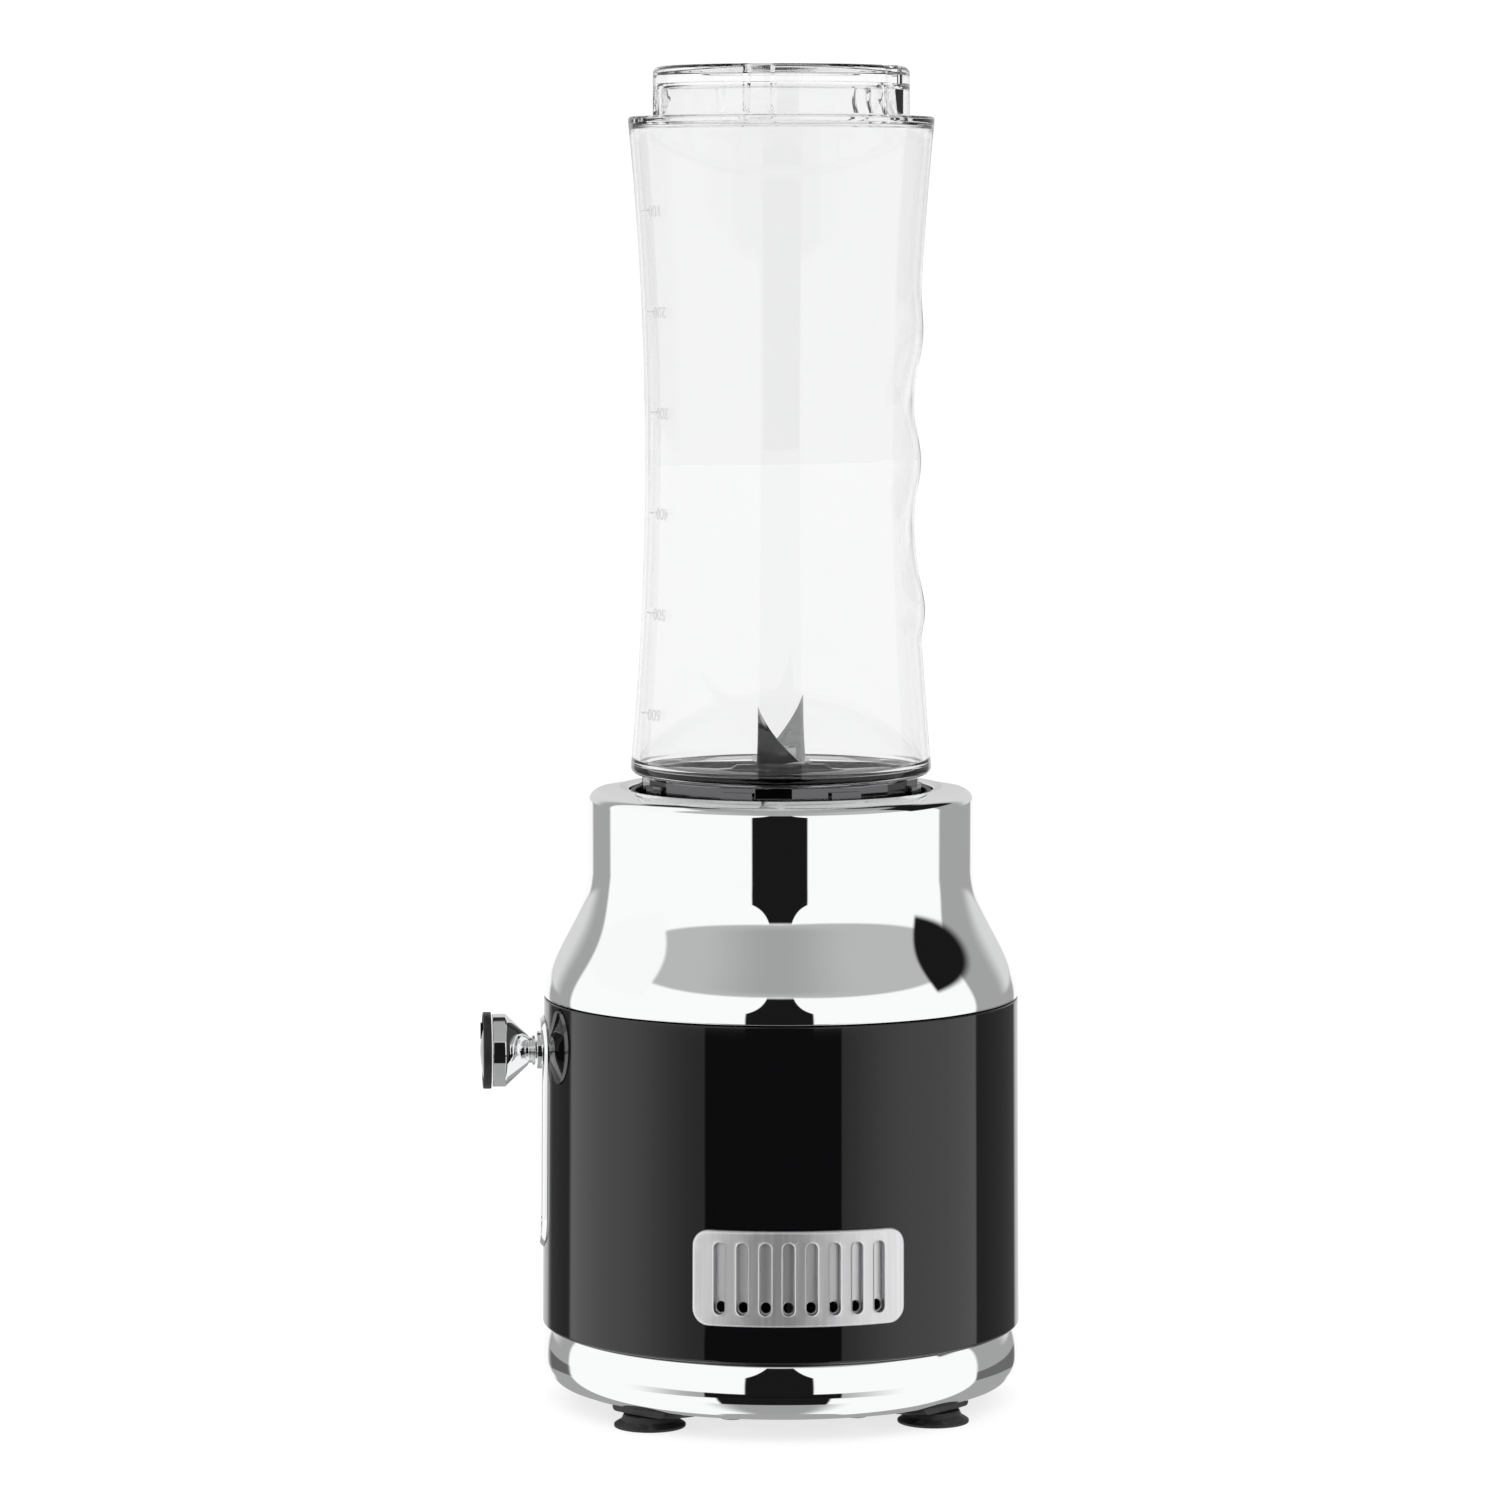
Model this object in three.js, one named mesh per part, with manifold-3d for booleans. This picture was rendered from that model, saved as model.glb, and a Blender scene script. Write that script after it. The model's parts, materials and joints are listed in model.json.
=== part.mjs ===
// Personal blender with an inverted bottle: chrome housing over a black sleeve, a front knob,
// a vertical universal motor and a screw-on blade unit. Millimetres, +Z up, knob towards -Y.
// The origin is on the floor, under the middle of the whole outline.

import * as THREE from 'three';
import { mergeVertices } from 'three/addons/utils/BufferGeometryUtils.js';
import Module from 'manifold-3d';

const wasm = await Module();
wasm.setup();

// ---------------------------------------------------------------- driving dimensions

const HEIGHT = 350; // floor to the top of the bottle
const BODY_R = 63; // black sleeve at its foot
const BODY_TOP_R = 62.4; // black sleeve under the chrome housing
const KNOB_REACH = 79.3; // drive axis to the knob's front face
const AXIS_Y = (KNOB_REACH - BODY_R) / 2; // centres the outline on the origin
const GAP = 0.3; // clearance between neighbouring pieces
const WALL = 2.4; // moulded walls
const SHELL_SEGMENTS = 24;
const ROUND_SEGMENTS = 16;

// heights of the joints between the casings
const RING_Z = 5.6;
const SLEEVE_Z = 20.3;
const HOUSING_Z = 107.2;
const LIP_Z = 162.4;
const COVER_Z = 8; // inner face of the bottom cover

const GLAND_Z = 34; // cord outlet at the rear

// feet and tie screws
const FOOT_ANGLES = [45, 135, 225, 315];
const FOOT_CIRCLE = 52;
const PAD_CIRCLE = 46.5;
const PAD_R = 13.5;
const PAD_Z = 3.6;
const TIE_ANGLES = [20, 160, 200, 340];
const TIE_CIRCLE = 47;
const TIE_R = 1.9;

// side grilles
const GRILLE = { arc: 55.5, low: 30.3, high: 55, corner: 3.3, proud: 1.2 };
const SLOT = { count: 8, width: 2.8, length: 18.4, pitch: 5.87 };
const VENT_HEIGHT = 2.8; // each slot is open to the inside only over its lowest part
const LINER = { inner: 60.9, floor: 61.9, margin: 1.2 }; // back of the grille, in the sleeve's window

// front controls
const KNOB_Z = 93;
const KNOB_R = 9.6;
const KNOB_NECK_R = 3.5;
const BAND_R = 10.1;
// distances of the knob's steps from the drive axis
const KNOB_STEPS = { foot: 64.8, cone: 66.8, rim: 72.6, band: 76.4, face: 78.6 };
const PLATE = { halfWidth: 9.3, low: 40.7, proud: 1.2 };
const SWITCH_SHAFT_R = 2.2;
const SWITCH_BUSH_R = 4.7;

// drive line
const MOTOR_SHAFT_R = 4;
const STACK = { low: 68, high: 104, halfX: 31, halfY: 27, corner: 8 };
const BORE_R = 16.6;
const SLOT_R = 23.3; // outer radius of the coil slots in the stator
const COIL_HALF_ANGLE = 67;
const BEARING = { outer: 11, width: 6.5 };
const STATOR_BOLTS = [[25, 21], [-25, -21]];
const CARRIER = { low: 127, high: 130, r: 50 };
const BRACKET = { low: 113, high: 116, r: 38 };
const LOWER_BRACKET = { low: 44, high: 47 };
const DAMPER_ANGLES = [5, 125, 245];
const DAMPER_CIRCLE = 29;
const BRUSH_Z = 55;

// seat, bayonet and interlock
const SEAT = { outer: 39.6, inner: 38.2, floor: 143.5, under: 141, top: 161.5, hole: 14.5 };
const HOLDER_R = 36.3;
const BAYONET_ANGLES = [30, 150, 270];
const LUG_HALF_ANGLE = 12;
const LEDGE_HALF_ANGLE = 18;
const UNLOCK_ANGLE = 32; // turn from locked to free
const PIN_CIRCLE = 33.8;
const PIN_ANGLE = 90;
const PIN_TRAVEL = 3;
const PIN_R = 1.6;

// blade unit
const HOLDER = { under: 147.5, groove: 149.3, top: 164.9, floor: 164.7, floorUnder: 162.5 };
const PEDESTAL_R = 30.6;
const HUB_TOP = 167.9;
const BLADE_SHAFT_R = 3;
const BLADE = { z: 168.5, sheet: 1.2, halfWidth: 7.1, fold: 9, tipRadius: 20, tipZ: 185.5 };
const NUT = { low: 170, high: 172.6, r: 4.3 };

// bottle
const NECK_OUTER = 33.6;
const NECK_INNER = 31.5;
const NECK_END = 151.6;
const BOTTLE_LOW = 165.7;
const SHOULDER_Z = 337;
const WAIST = { r: 35.6, z: 250, curve: 870 };
const CAP_R = 33.4; // stepped foot of the bottle, on top here
const BOTTLE_WALL = 2.1;

// ---------------------------------------------------------------- materials

const material = (color, metalness, roughness, extra = {}) =>
  new THREE.MeshStandardMaterial({ color, metalness, roughness, ...extra });

const MATERIALS = {
  chrome: material(0xe2e4e6, 1, 0.05),
  satinChrome: material(0xc9cbcd, 1, 0.28),
  blackGloss: material(0x0d0d0f, 0, 0.08),
  blackPlastic: material(0x18181a, 0, 0.45),
  rubber: material(0x101011, 0, 0.85),
  clear: material(0xf2f5f6, 0, 0.03, { transparent: true, opacity: 0.35 }),
  steel: material(0xb9bcc0, 1, 0.22),
  silicone: material(0xd9dbdc, 0, 0.6),
  bronze: material(0xa97b4a, 1, 0.4),
  lamination: material(0x77797d, 0.8, 0.5),
  copper: material(0xb4623a, 0.9, 0.35),
  aluminium: material(0xa8abae, 0.9, 0.4),
  nylon: material(0xe6e3da, 0, 0.5),
  carbon: material(0x232325, 0.1, 0.8),
  board: material(0x1f5a37, 0, 0.5),
  capacitorCase: material(0xc9a227, 0, 0.5),
};

// ---------------------------------------------------------------- geometry helpers

const radians = (degrees) => (degrees * Math.PI) / 180;
const polar = (r, degrees) => [r * Math.cos(radians(degrees)), r * Math.sin(radians(degrees))];
const steps = (count) => Array.from({ length: count + 1 }, (_, i) => i / count);

/** One closed body with shared vertices, no collapsed triangles and its faces pointing out. */
function closed(geometry) {
  for (const name of Object.keys(geometry.attributes)) {
    if (name !== 'position') geometry.deleteAttribute(name);
  }
  const merged = mergeVertices(geometry, 1e-4);
  const index = merged.index.array;
  const position = merged.attributes.position;
  const corner = (i) => new THREE.Vector3().fromBufferAttribute(position, i);
  const kept = [];
  let volume = 0;
  for (let i = 0; i < index.length; i += 3) {
    const [a, b, c] = index.slice(i, i + 3);
    if (a === b || b === c || c === a) continue;
    kept.push(a, b, c);
    volume += corner(a).dot(corner(b).cross(corner(c)));
  }
  if (volume < 0) kept.reverse();
  merged.setIndex(kept);
  return merged;
}

/** A closed profile of [radius, z] points turned about Z. */
function turned(profile, segments = ROUND_SEGMENTS) {
  const onAxis = profile[0][0] === 0 && profile.at(-1)[0] === 0;
  const loop = onAxis ? profile : [...profile, profile[0]];
  const points = loop.map(([r, z]) => new THREE.Vector2(r, z));
  return closed(new THREE.LatheGeometry(points, segments).rotateX(Math.PI / 2));
}

/** A washer, tube or plain cylinder. */
function tube(outer, inner, low, high, segments = ROUND_SEGMENTS) {
  if (inner === 0) return turned([[0, low], [outer, low], [outer, high], [0, high]], segments);
  return turned([[inner, low], [outer, low], [outer, high], [inner, high]], segments);
}

/** A flat outline of [x, y] points, with holes, raised from low to high. */
function raised(outline, low, high, holes = []) {
  const flat = (points) => points.map(([x, y]) => new THREE.Vector2(x, y));
  const shape = new THREE.Shape(flat(outline));
  shape.holes = holes.map((hole) => new THREE.Path(flat(hole)));
  const depth = high - low;
  return closed(new THREE.ExtrudeGeometry(shape, { depth, bevelEnabled: false }).translate(0, 0, low));
}

const block = (x0, x1, y0, y1, z0, z1) =>
  closed(
    new THREE.BoxGeometry(x1 - x0, y1 - y0, z1 - z0).translate((x0 + x1) / 2, (y0 + y1) / 2, (z0 + z1) / 2),
  );

/** Points of an arc about (cx, cy). */
const arc = (cx, cy, r, from, to, count) =>
  steps(count).map((t) => {
    const [x, y] = polar(r, from + (to - from) * t);
    return [cx + x, cy + y];
  });

const circle = (cx, cy, r, count = 16) => arc(cx, cy, r, 0, 360, count).slice(0, -1);

/** Outline of part of a ring, between two angles. */
const sector = (inner, outer, from, to, count = 6) => [
  ...arc(0, 0, outer, from, to, count),
  ...arc(0, 0, inner, to, from, count),
];

const roundedRectangle = (halfX, halfY, corner, count = 3) => {
  const [x, y] = [halfX - corner, halfY - corner];
  return [
    ...arc(x, y, corner, 0, 90, count),
    ...arc(-x, y, corner, 90, 180, count),
    ...arc(-x, -y, corner, 180, 270, count),
    ...arc(x, -y, corner, 270, 360, count),
  ];
};

function solidOf(geometry) {
  return new wasm.Manifold(
    new wasm.Mesh({
      numProp: 3,
      vertProperties: new Float32Array(geometry.attributes.position.array),
      triVerts: new Uint32Array(geometry.index.array),
    }),
  );
}

function geometryOf(solid) {
  const mesh = solid.getMesh();
  const geometry = new THREE.BufferGeometry();
  geometry.setAttribute('position', new THREE.BufferAttribute(new Float32Array(mesh.vertProperties), 3));
  geometry.setIndex(Array.from(mesh.triVerts));
  return geometry;
}

const join = (first, ...others) =>
  geometryOf(others.reduce((solid, piece) => solid.add(solidOf(piece)), solidOf(first)));

const cut = (first, ...tools) =>
  geometryOf(tools.reduce((solid, tool) => solid.subtract(solidOf(tool)), solidOf(first)));

const common = (first, second) => geometryOf(solidOf(first).intersect(solidOf(second)));

/** Turns a piece made along +Z so that it points out of the front, its axis at the knob's height. */
const toFront = (geometry) => geometry.rotateX(Math.PI / 2).translate(0, 0, KNOB_Z);

const moved = (geometry, x, y, z = 0) => geometry.clone().translate(x, y, z);
const turnedBy = (geometry, degrees) => geometry.clone().rotateZ(radians(degrees));

const parts = [];
const add = (name, materialName, geometry) => parts.push({ name, materialName, geometry });

// ---------------------------------------------------------------- casing

const sleeveRadius = (z) =>
  BODY_R + ((BODY_TOP_R - BODY_R) * (z - SLEEVE_Z)) / (HOUSING_Z - SLEEVE_Z);

/** The chrome housing's shoulder: an S-curve from the sleeve's radius up to the collar's. */
const COLLAR_R = 50.6;
const COLLAR_Z = 141;
function shoulder(offset, count) {
  const bottomR = BODY_TOP_R - 0.1;
  return steps(count).map((t) => {
    const blend = (1 + Math.cos(Math.PI * t ** 0.93)) / 2;
    const z = HOUSING_Z + GAP / 2 + t * (COLLAR_Z - HOUSING_Z - GAP / 2);
    return [COLLAR_R + (bottomR - COLLAR_R) * blend - offset, z];
  });
}

function upperHousing() {
  const opening = SEAT.outer + GAP;
  return turned(
    [
      ...shoulder(0, 6),
      [COLLAR_R, 158.6],
      ...arc(COLLAR_R - 2, 158.7, 2, 15, 80, 2),
      [opening + 1.2, LIP_Z],
      [opening, LIP_Z - 0.4],
      [opening, LIP_Z - 3.4],
      [COLLAR_R - WALL, LIP_Z - 4.6],
      ...shoulder(WALL, 4).reverse(),
    ],
    SHELL_SEGMENTS,
  );
}

function bodySleeve() {
  const low = SLEEVE_Z + GAP / 2;
  const high = HOUSING_Z - GAP / 2;
  const wall = turned(
    [
      [sleeveRadius(low) - WALL, low],
      [sleeveRadius(low) - 1.2, low],
      [sleeveRadius(low), low + 1.2],
      [sleeveRadius(high), high],
      [sleeveRadius(high) - WALL, high],
    ],
    SHELL_SEGMENTS,
  );
  const windows = linerBlock(GAP, 50, 70);
  const switchHole = toFront(tube(SWITCH_BUSH_R + GAP, 0, 50, 70));
  const glandHole = tube(5.2, 0, 50, 70).rotateX(-Math.PI / 2).translate(0, 0, GLAND_Z);
  return cut(wall, windows, turnedBy(windows, 180), switchHole, glandHole);
}

/** Chrome bumper ring: fuller below its middle, drawn in at the floor. */
function ringRadius(z) {
  const middle = 11.8;
  const rise = z > middle ? 11.3 : 6.5;
  return 57.9 + 5 * Math.sqrt(1 - ((z - middle) / rise) ** 2);
}

function baseRing() {
  const top = SLEEVE_Z - GAP / 2;
  const outside = steps(6).map((t) => {
    const z = RING_Z + (top - RING_Z) * t;
    return [ringRadius(z), z];
  });
  const spigot = BODY_R - WALL - GAP;
  return turned(
    [
      ...outside,
      [spigot, top],
      [spigot, top + 3.6],
      [spigot - 2, top + 3.6],
      [spigot - 2, 12.4],
      [56.5, 11],
      [56.5, COVER_Z + GAP],
      [57.6, COVER_Z + GAP],
      [57.6, RING_Z],
    ],
    SHELL_SEGMENTS,
  );
}

function bottomCover() {
  const underside = RING_Z - GAP;
  const footPads = FOOT_ANGLES.map((angle) =>
    moved(tube(PAD_R, 0, PAD_Z, underside + 0.5, 12), ...polar(PAD_CIRCLE, angle)),
  );
  const trim = tube(57.3, 0, 0, COVER_Z + 1, SHELL_SEGMENTS);
  const aboveTrim = cut(tube(80, 0, underside, COVER_Z + 2), trim);
  const plate = tube(57.3, 0, underside, COVER_Z, SHELL_SEGMENTS);
  const footHoles = FOOT_ANGLES.map((angle) =>
    moved(tube(3.1, 0, 0, 12, 8), ...polar(FOOT_CIRCLE, angle)),
  );
  const screwHoles = TIE_ANGLES.map((angle) =>
    moved(tube(TIE_R + GAP, 0, 0, 12, 8), ...polar(TIE_CIRCLE, angle)),
  );
  const vents = steps(8).slice(1).map((t) =>
    turnedBy(raised(roundedRectangle(7, 1.5, 1.2, 1), 4, 10).translate(27, 0, 0), 360 * t),
  );
  return cut(join(plate, ...footPads), aboveTrim, ...footHoles, ...screwHoles, ...vents);
}

/** Suction foot: cup on the floor, neck through the cover, button head above it. */
function foot() {
  return turned([
    [0, 2.1],
    [7.6, 0],
    [9.3, 0],
    [9.3, 0.7],
    [7.3, 2.2],
    [6.8, PAD_Z - GAP],
    [2.8, PAD_Z - GAP],
    [2.8, COVER_Z + GAP],
    [3.8, COVER_Z + GAP],
    [3.2, COVER_Z + 2.4],
    [0, COVER_Z + 2.4],
  ], 12);
}

function tieScrew() {
  const headTop = RING_Z - 2 * GAP;
  return turned(
    [[0, 3.2], [3, 3.2], [3.8, 3.9], [3.8, headTop], [TIE_R, headTop], [TIE_R, 126], [0, 126]],
    8,
  );
}

// ---------------------------------------------------------------- side grilles and control plate

/** Thin curved sheet standing off the sleeve between two heights, on all sides. */
const sleeveSkin = (low, high, proud) =>
  turned(
    [
      [sleeveRadius(low) + GAP, low],
      [sleeveRadius(low) + proud, low],
      [sleeveRadius(high) + proud, high],
      [sleeveRadius(high) + GAP, high],
    ],
    SHELL_SEGMENTS,
  );

/** Block behind the slots on the +X side, or with a margin the window that it stands in. */
function linerBlock(margin, from, to) {
  const halfWidth = (SLOT.pitch * (SLOT.count - 1) + SLOT.width) / 2 + LINER.margin + margin;
  const halfHeight = SLOT.length / 2 + LINER.margin + margin;
  const middle = (GRILLE.low + GRILLE.high) / 2;
  return block(from, to, -halfWidth, halfWidth, middle - halfHeight, middle + halfHeight);
}

/** Curved plate on the +X side with upright slots that point at the axis. A liner closes them
 *  behind, except at their foot, where the air goes through. */
function grille() {
  const { arc: length, low, high, corner, proud } = GRILLE;
  const middle = (low + high) / 2;
  const halfWidth = BODY_R * Math.sin(length / 2 / BODY_R);
  const outline = roundedRectangle((high - low) / 2, halfWidth, corner, 2);
  const prism = raised(outline, 50, 70).rotateY(Math.PI / 2).translate(0, 0, middle);
  const sheet = common(sleeveSkin(low - 1, high + 1, proud), prism);
  const back = common(
    tube(sleeveRadius(middle) + GAP + 0.3, LINER.inner, low, high, SHELL_SEGMENTS),
    linerBlock(0, 50, 70),
  );
  const half = [SLOT.length / 2, SLOT.width / 2];
  const slotTool = raised(roundedRectangle(...half, SLOT.width / 2 - 0.2, 1), LINER.floor, 70)
    .rotateY(Math.PI / 2)
    .translate(0, 0, middle);
  const slotLow = middle - SLOT.length / 2;
  const ventTool = block(55, 65, -SLOT.width / 2, SLOT.width / 2, slotLow + 0.4, slotLow + VENT_HEIGHT);
  const pitch = (SLOT.pitch / BODY_R) * (180 / Math.PI);
  const tools = steps(SLOT.count - 1).flatMap((t) => {
    const angle = (t - 0.5) * (SLOT.count - 1) * pitch;
    return [turnedBy(slotTool, angle), turnedBy(ventTool, angle)];
  });
  return cut(join(sheet, back), ...tools);
}

function controlPlate() {
  const { halfWidth, low, proud } = PLATE;
  const skin = sleeveSkin(low - 2, KNOB_Z + halfWidth + 2, proud);
  const drop = KNOB_Z - low - halfWidth;
  const pill = [
    ...arc(0, 0, halfWidth, 0, 180, 8),
    ...arc(0, -drop, halfWidth, 180, 360, 8),
  ];
  return common(skin, toFront(raised(pill, 50, 70, [circle(0, 0, SWITCH_BUSH_R + GAP)])));
}

// ---------------------------------------------------------------- knob and switch

function knobBody() {
  const { foot, cone, rim, band } = KNOB_STEPS;
  const hole = SWITCH_SHAFT_R + GAP;
  return toFront(
    turned([
      [0, band - 2],
      [hole, band - 2],
      [hole, foot],
      [KNOB_NECK_R + 0.4, foot],
      [KNOB_NECK_R, foot + 0.8],
      [KNOB_NECK_R, cone - 0.4],
      [KNOB_NECK_R + 0.5, cone + 0.3],
      [KNOB_R - 0.8, rim - 0.4],
      [KNOB_R, rim + 0.4],
      [KNOB_R, band - GAP],
      [0, band - GAP],
    ]),
  );
}

const knobBand = () =>
  toFront(
    turned([
      [8.6, KNOB_STEPS.band],
      [BAND_R, KNOB_STEPS.band],
      [BAND_R, KNOB_STEPS.face - 0.4],
      [BAND_R - 0.4, KNOB_STEPS.face],
      [8.6, KNOB_STEPS.face],
    ]),
  );

/** Shallow dome inside the band, with a raised pointer. */
function knobCap() {
  const { band, face } = KNOB_STEPS;
  const dome = turned([[0, band], [8.3, band], [8.3, face - 0.3], [4.5, face + 0.3], [0, face + 0.5]]);
  return toFront(join(dome, block(-0.6, 0.6, 2, 7.4, face - 0.6, KNOB_REACH)));
}

const switchShaft = () => toFront(tube(SWITCH_SHAFT_R, 0, 44, KNOB_STEPS.band - 2 - GAP, 12));

function rotarySwitch() {
  const body = block(-11, 11, -11, 11, 36, 56.5);
  const bush = tube(SWITCH_BUSH_R, 0, 56, 64.2);
  const bore = tube(SWITCH_SHAFT_R + GAP, 0, 43.7, 66, 12);
  return toFront(cut(join(body, bush), bore));
}

// ---------------------------------------------------------------- motor

function stator() {
  const [bore, slot, edge] = [BORE_R, SLOT_R, COIL_HALF_ANGLE - 10];
  const hole = [
    ...arc(0, 0, bore, -edge, edge, 10),
    ...arc(0, 0, slot, edge, 180 - edge, 8),
    ...arc(0, 0, bore, 180 - edge, 180 + edge, 10),
    ...arc(0, 0, slot, 180 + edge, 360 - edge, 8),
  ];
  const outline = roundedRectangle(STACK.halfX, STACK.halfY, STACK.corner);
  const boltHoles = STATOR_BOLTS.map(([x, y]) => circle(x, y, TIE_R + GAP, 8));
  return raised(outline, STACK.low, STACK.high, [hole, ...boltHoles]);
}

/** Saddle coil round the +X pole. */
function fieldCoil() {
  const overhang = 5;
  const [inner, outer] = [BORE_R + 1.4, SLOT_R - GAP];
  const span = COIL_HALF_ANGLE;
  const whole = raised(
    sector(inner, outer, -span, span, 12),
    STACK.low - GAP - overhang,
    STACK.high + GAP + overhang,
  );
  const pole = raised(
    sector(inner - 2, outer + 2, -span + 9, span - 9, 12),
    STACK.low - GAP,
    STACK.high + GAP,
  );
  return cut(whole, pole);
}

const ARMATURE_SLOTS = 8;
const ARMATURE_R = 16;
const armatureSlot = (gap) => {
  const half = 11 - gap * 1.5;
  return sector(9 + gap, 14.6 - gap, -half, half, 1);
};

function armatureCore() {
  const slots = steps(ARMATURE_SLOTS).slice(1).map((t) =>
    armatureSlot(0).map(([x, y]) => {
      const turn = radians(360 * t);
      return [x * Math.cos(turn) - y * Math.sin(turn), x * Math.sin(turn) + y * Math.cos(turn)];
    }),
  );
  const shaftHole = circle(0, 0, MOTOR_SHAFT_R + GAP, 12);
  return raised(circle(0, 0, ARMATURE_R, 24), STACK.low, STACK.high, [...slots, shaftHole]);
}

/** End turns above and below the core, joined by the bars in its slots. */
function armatureWinding() {
  const bundle = (low, high) =>
    turned([
      [MOTOR_SHAFT_R + 1, low],
      [13, low],
      [14.6, low + 1.6],
      [14.6, high - 1.6],
      [13, high],
      [MOTOR_SHAFT_R + 1, high],
    ]);
  const bars = steps(ARMATURE_SLOTS).slice(1).map((t) =>
    turnedBy(raised(armatureSlot(GAP), STACK.low - 1, STACK.high + 1), 360 * t),
  );
  return join(
    bundle(STACK.high + GAP, STACK.high + 6),
    bundle(STACK.low - 6, STACK.low - GAP),
    ...bars,
  );
}

const COMMUTATOR_R = 11;

/** Copper drum with a collar that carries the winding's tails. */
const commutator = () =>
  turned([
    [MOTOR_SHAFT_R + GAP, 49.5],
    [COMMUTATOR_R, 49.5],
    [COMMUTATOR_R, 59.2],
    [12.4, 59.6],
    [12.4, 61.4],
    [MOTOR_SHAFT_R + GAP, 61.4],
  ]);

/** Centrifugal fan: back plate, hub and straight radial vanes. */
function coolingFan() {
  const plate = tube(30, MOTOR_SHAFT_R + GAP, 26, 27.4, 24);
  const hub = tube(8, MOTOR_SHAFT_R + GAP, 27, 34.8);
  const vanes = steps(9).slice(1).map((t) => turnedBy(block(7, 29.4, -0.7, 0.7, 27, 34.2), 360 * t));
  return join(plate, hub, ...vanes);
}

/** Plate above the stator with a cup for the upper bearing. */
function upperBracket() {
  const cup = tube(BEARING.outer + 2.4, BEARING.outer + GAP, BRACKET.low, BRACKET.high + 7);
  const mouth = circle(0, 0, BEARING.outer + 1, 12);
  const ventsAt = DAMPER_ANGLES.map((angle) => sector(17, 33, angle + 46, angle + 74, 2));
  const boltHoles = STATOR_BOLTS.map(([x, y]) => circle(x, y, TIE_R + GAP, 8));
  const plate = raised(circle(0, 0, BRACKET.r, 24), BRACKET.low, BRACKET.high, [mouth, ...ventsAt]);
  const bolts = boltHoles.map((hole) => raised(hole, BRACKET.low - 1, BRACKET.high + 1));
  const shelf = tube(BEARING.outer + 1, MOTOR_SHAFT_R + 2, BRACKET.low - 1.4, BRACKET.low + 0.4);
  return cut(join(plate, cup, shelf, tube(BEARING.outer + 1.6, BEARING.outer + 0.6, 111.6, 113.4)), ...bolts);
}

/** Plate under the commutator, four posts up to the stator and a cup for the lower bearing. */
function lowerBracket() {
  const { low, high } = LOWER_BRACKET;
  const plate = raised(roundedRectangle(STACK.halfX, STACK.halfY, STACK.corner), low, high, [
    circle(0, 0, BEARING.outer + 1, 12),
    ...[0, 180].map((angle) => sector(15, 26, angle - 38, angle + 38, 3)),
  ]);
  const cup = tube(BEARING.outer + 2.4, BEARING.outer + GAP, low - 7, high);
  const shelf = tube(BEARING.outer + 1.6, MOTOR_SHAFT_R + 2, low - 8.4, low - 6.6);
  const posts = [[25, 21], [-25, 21], [25, -21], [-25, -21]].map(([x, y]) =>
    moved(tube(4, 0, high - 1, STACK.low - GAP, 8), x, y),
  );
  const bolts = STATOR_BOLTS.map(([x, y]) => moved(tube(TIE_R + GAP, 0, 30, 80, 8), x, y));
  return cut(join(plate, cup, shelf, ...posts), ...bolts);
}

/** Sealed ball bearing. */
const bearing = (low) => tube(BEARING.outer, MOTOR_SHAFT_R + GAP, low, low + BEARING.width);

/** Brass box on the lower bracket that guides one brush towards the commutator. */
function brushHolder() {
  const base = LOWER_BRACKET.high + GAP;
  const box = block(-4.5, 4.5, 13.5, 31, base, BRUSH_Z + 5.5);
  const channel = block(-2.8, 2.8, 10, 29, BRUSH_Z - 4.3, BRUSH_Z + 4.3);
  return cut(box, channel);
}

const brush = () => block(-2.5, 2.5, COMMUTATOR_R + GAP, 24, BRUSH_Z - 4, BRUSH_Z + 4);

function statorBolt() {
  const top = BRACKET.high + GAP;
  return turned(
    [[0, 42], [TIE_R, 42], [TIE_R, top], [3.4, top], [3.4, top + 2.2], [0, top + 2.2]],
    12,
  );
}

/** Disc wedged under the housing's shoulder: it carries the motor and takes the tie screws. */
function motorCarrier() {
  const { low, high, r } = CARRIER;
  const disc = raised(circle(0, 0, r, 24), low, high, [
    circle(0, 0, 8, 16),
    circle(...polar(PIN_CIRCLE, PIN_ANGLE), PIN_R + GAP, 12),
  ]);
  const bosses = TIE_ANGLES.map((angle) =>
    moved(tube(4.4, 0, low - 9, low + 0.5, 8), ...polar(TIE_CIRCLE - 0.4, angle)),
  );
  const holes = TIE_ANGLES.map((angle) =>
    moved(tube(TIE_R + GAP, 0, low - 10, 126 + GAP, 8), ...polar(TIE_CIRCLE, angle)),
  );
  return cut(join(disc, ...bosses), ...holes);
}

const damper = () => {
  const [low, high] = [BRACKET.high + GAP, CARRIER.low - GAP];
  const waist = (low + high) / 2;
  return turned([[0, low], [6, low], [6, low + 2], [4.6, waist], [6, high - 2], [6, high], [0, high]], 12);
};

const motorShaft = () => tube(MOTOR_SHAFT_R, 0, 25, 143.9, 16);

// ---------------------------------------------------------------- drive coupling

/** Six-lobed star outline. */
const star = (root, tip) =>
  steps(6).slice(1).flatMap((t) => [
    polar(root, 360 * t - 30),
    polar(root, 360 * t - 15),
    polar(tip, 360 * t - 11),
    polar(tip, 360 * t + 11),
    polar(root, 360 * t + 15),
  ]);

function driveCoupling() {
  const cup = turned([[0, 141.5], [11.4, 141.5], [12.5, 142.6], [12.5, 151.2], [11.9, 152], [0, 152]]);
  const socket = raised(star(8, 10.2), 145.6, 153);
  const shaftHole = tube(MOTOR_SHAFT_R + GAP, 0, 140, 144.2, 16);
  return cut(cup, socket, shaftHole);
}

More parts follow.
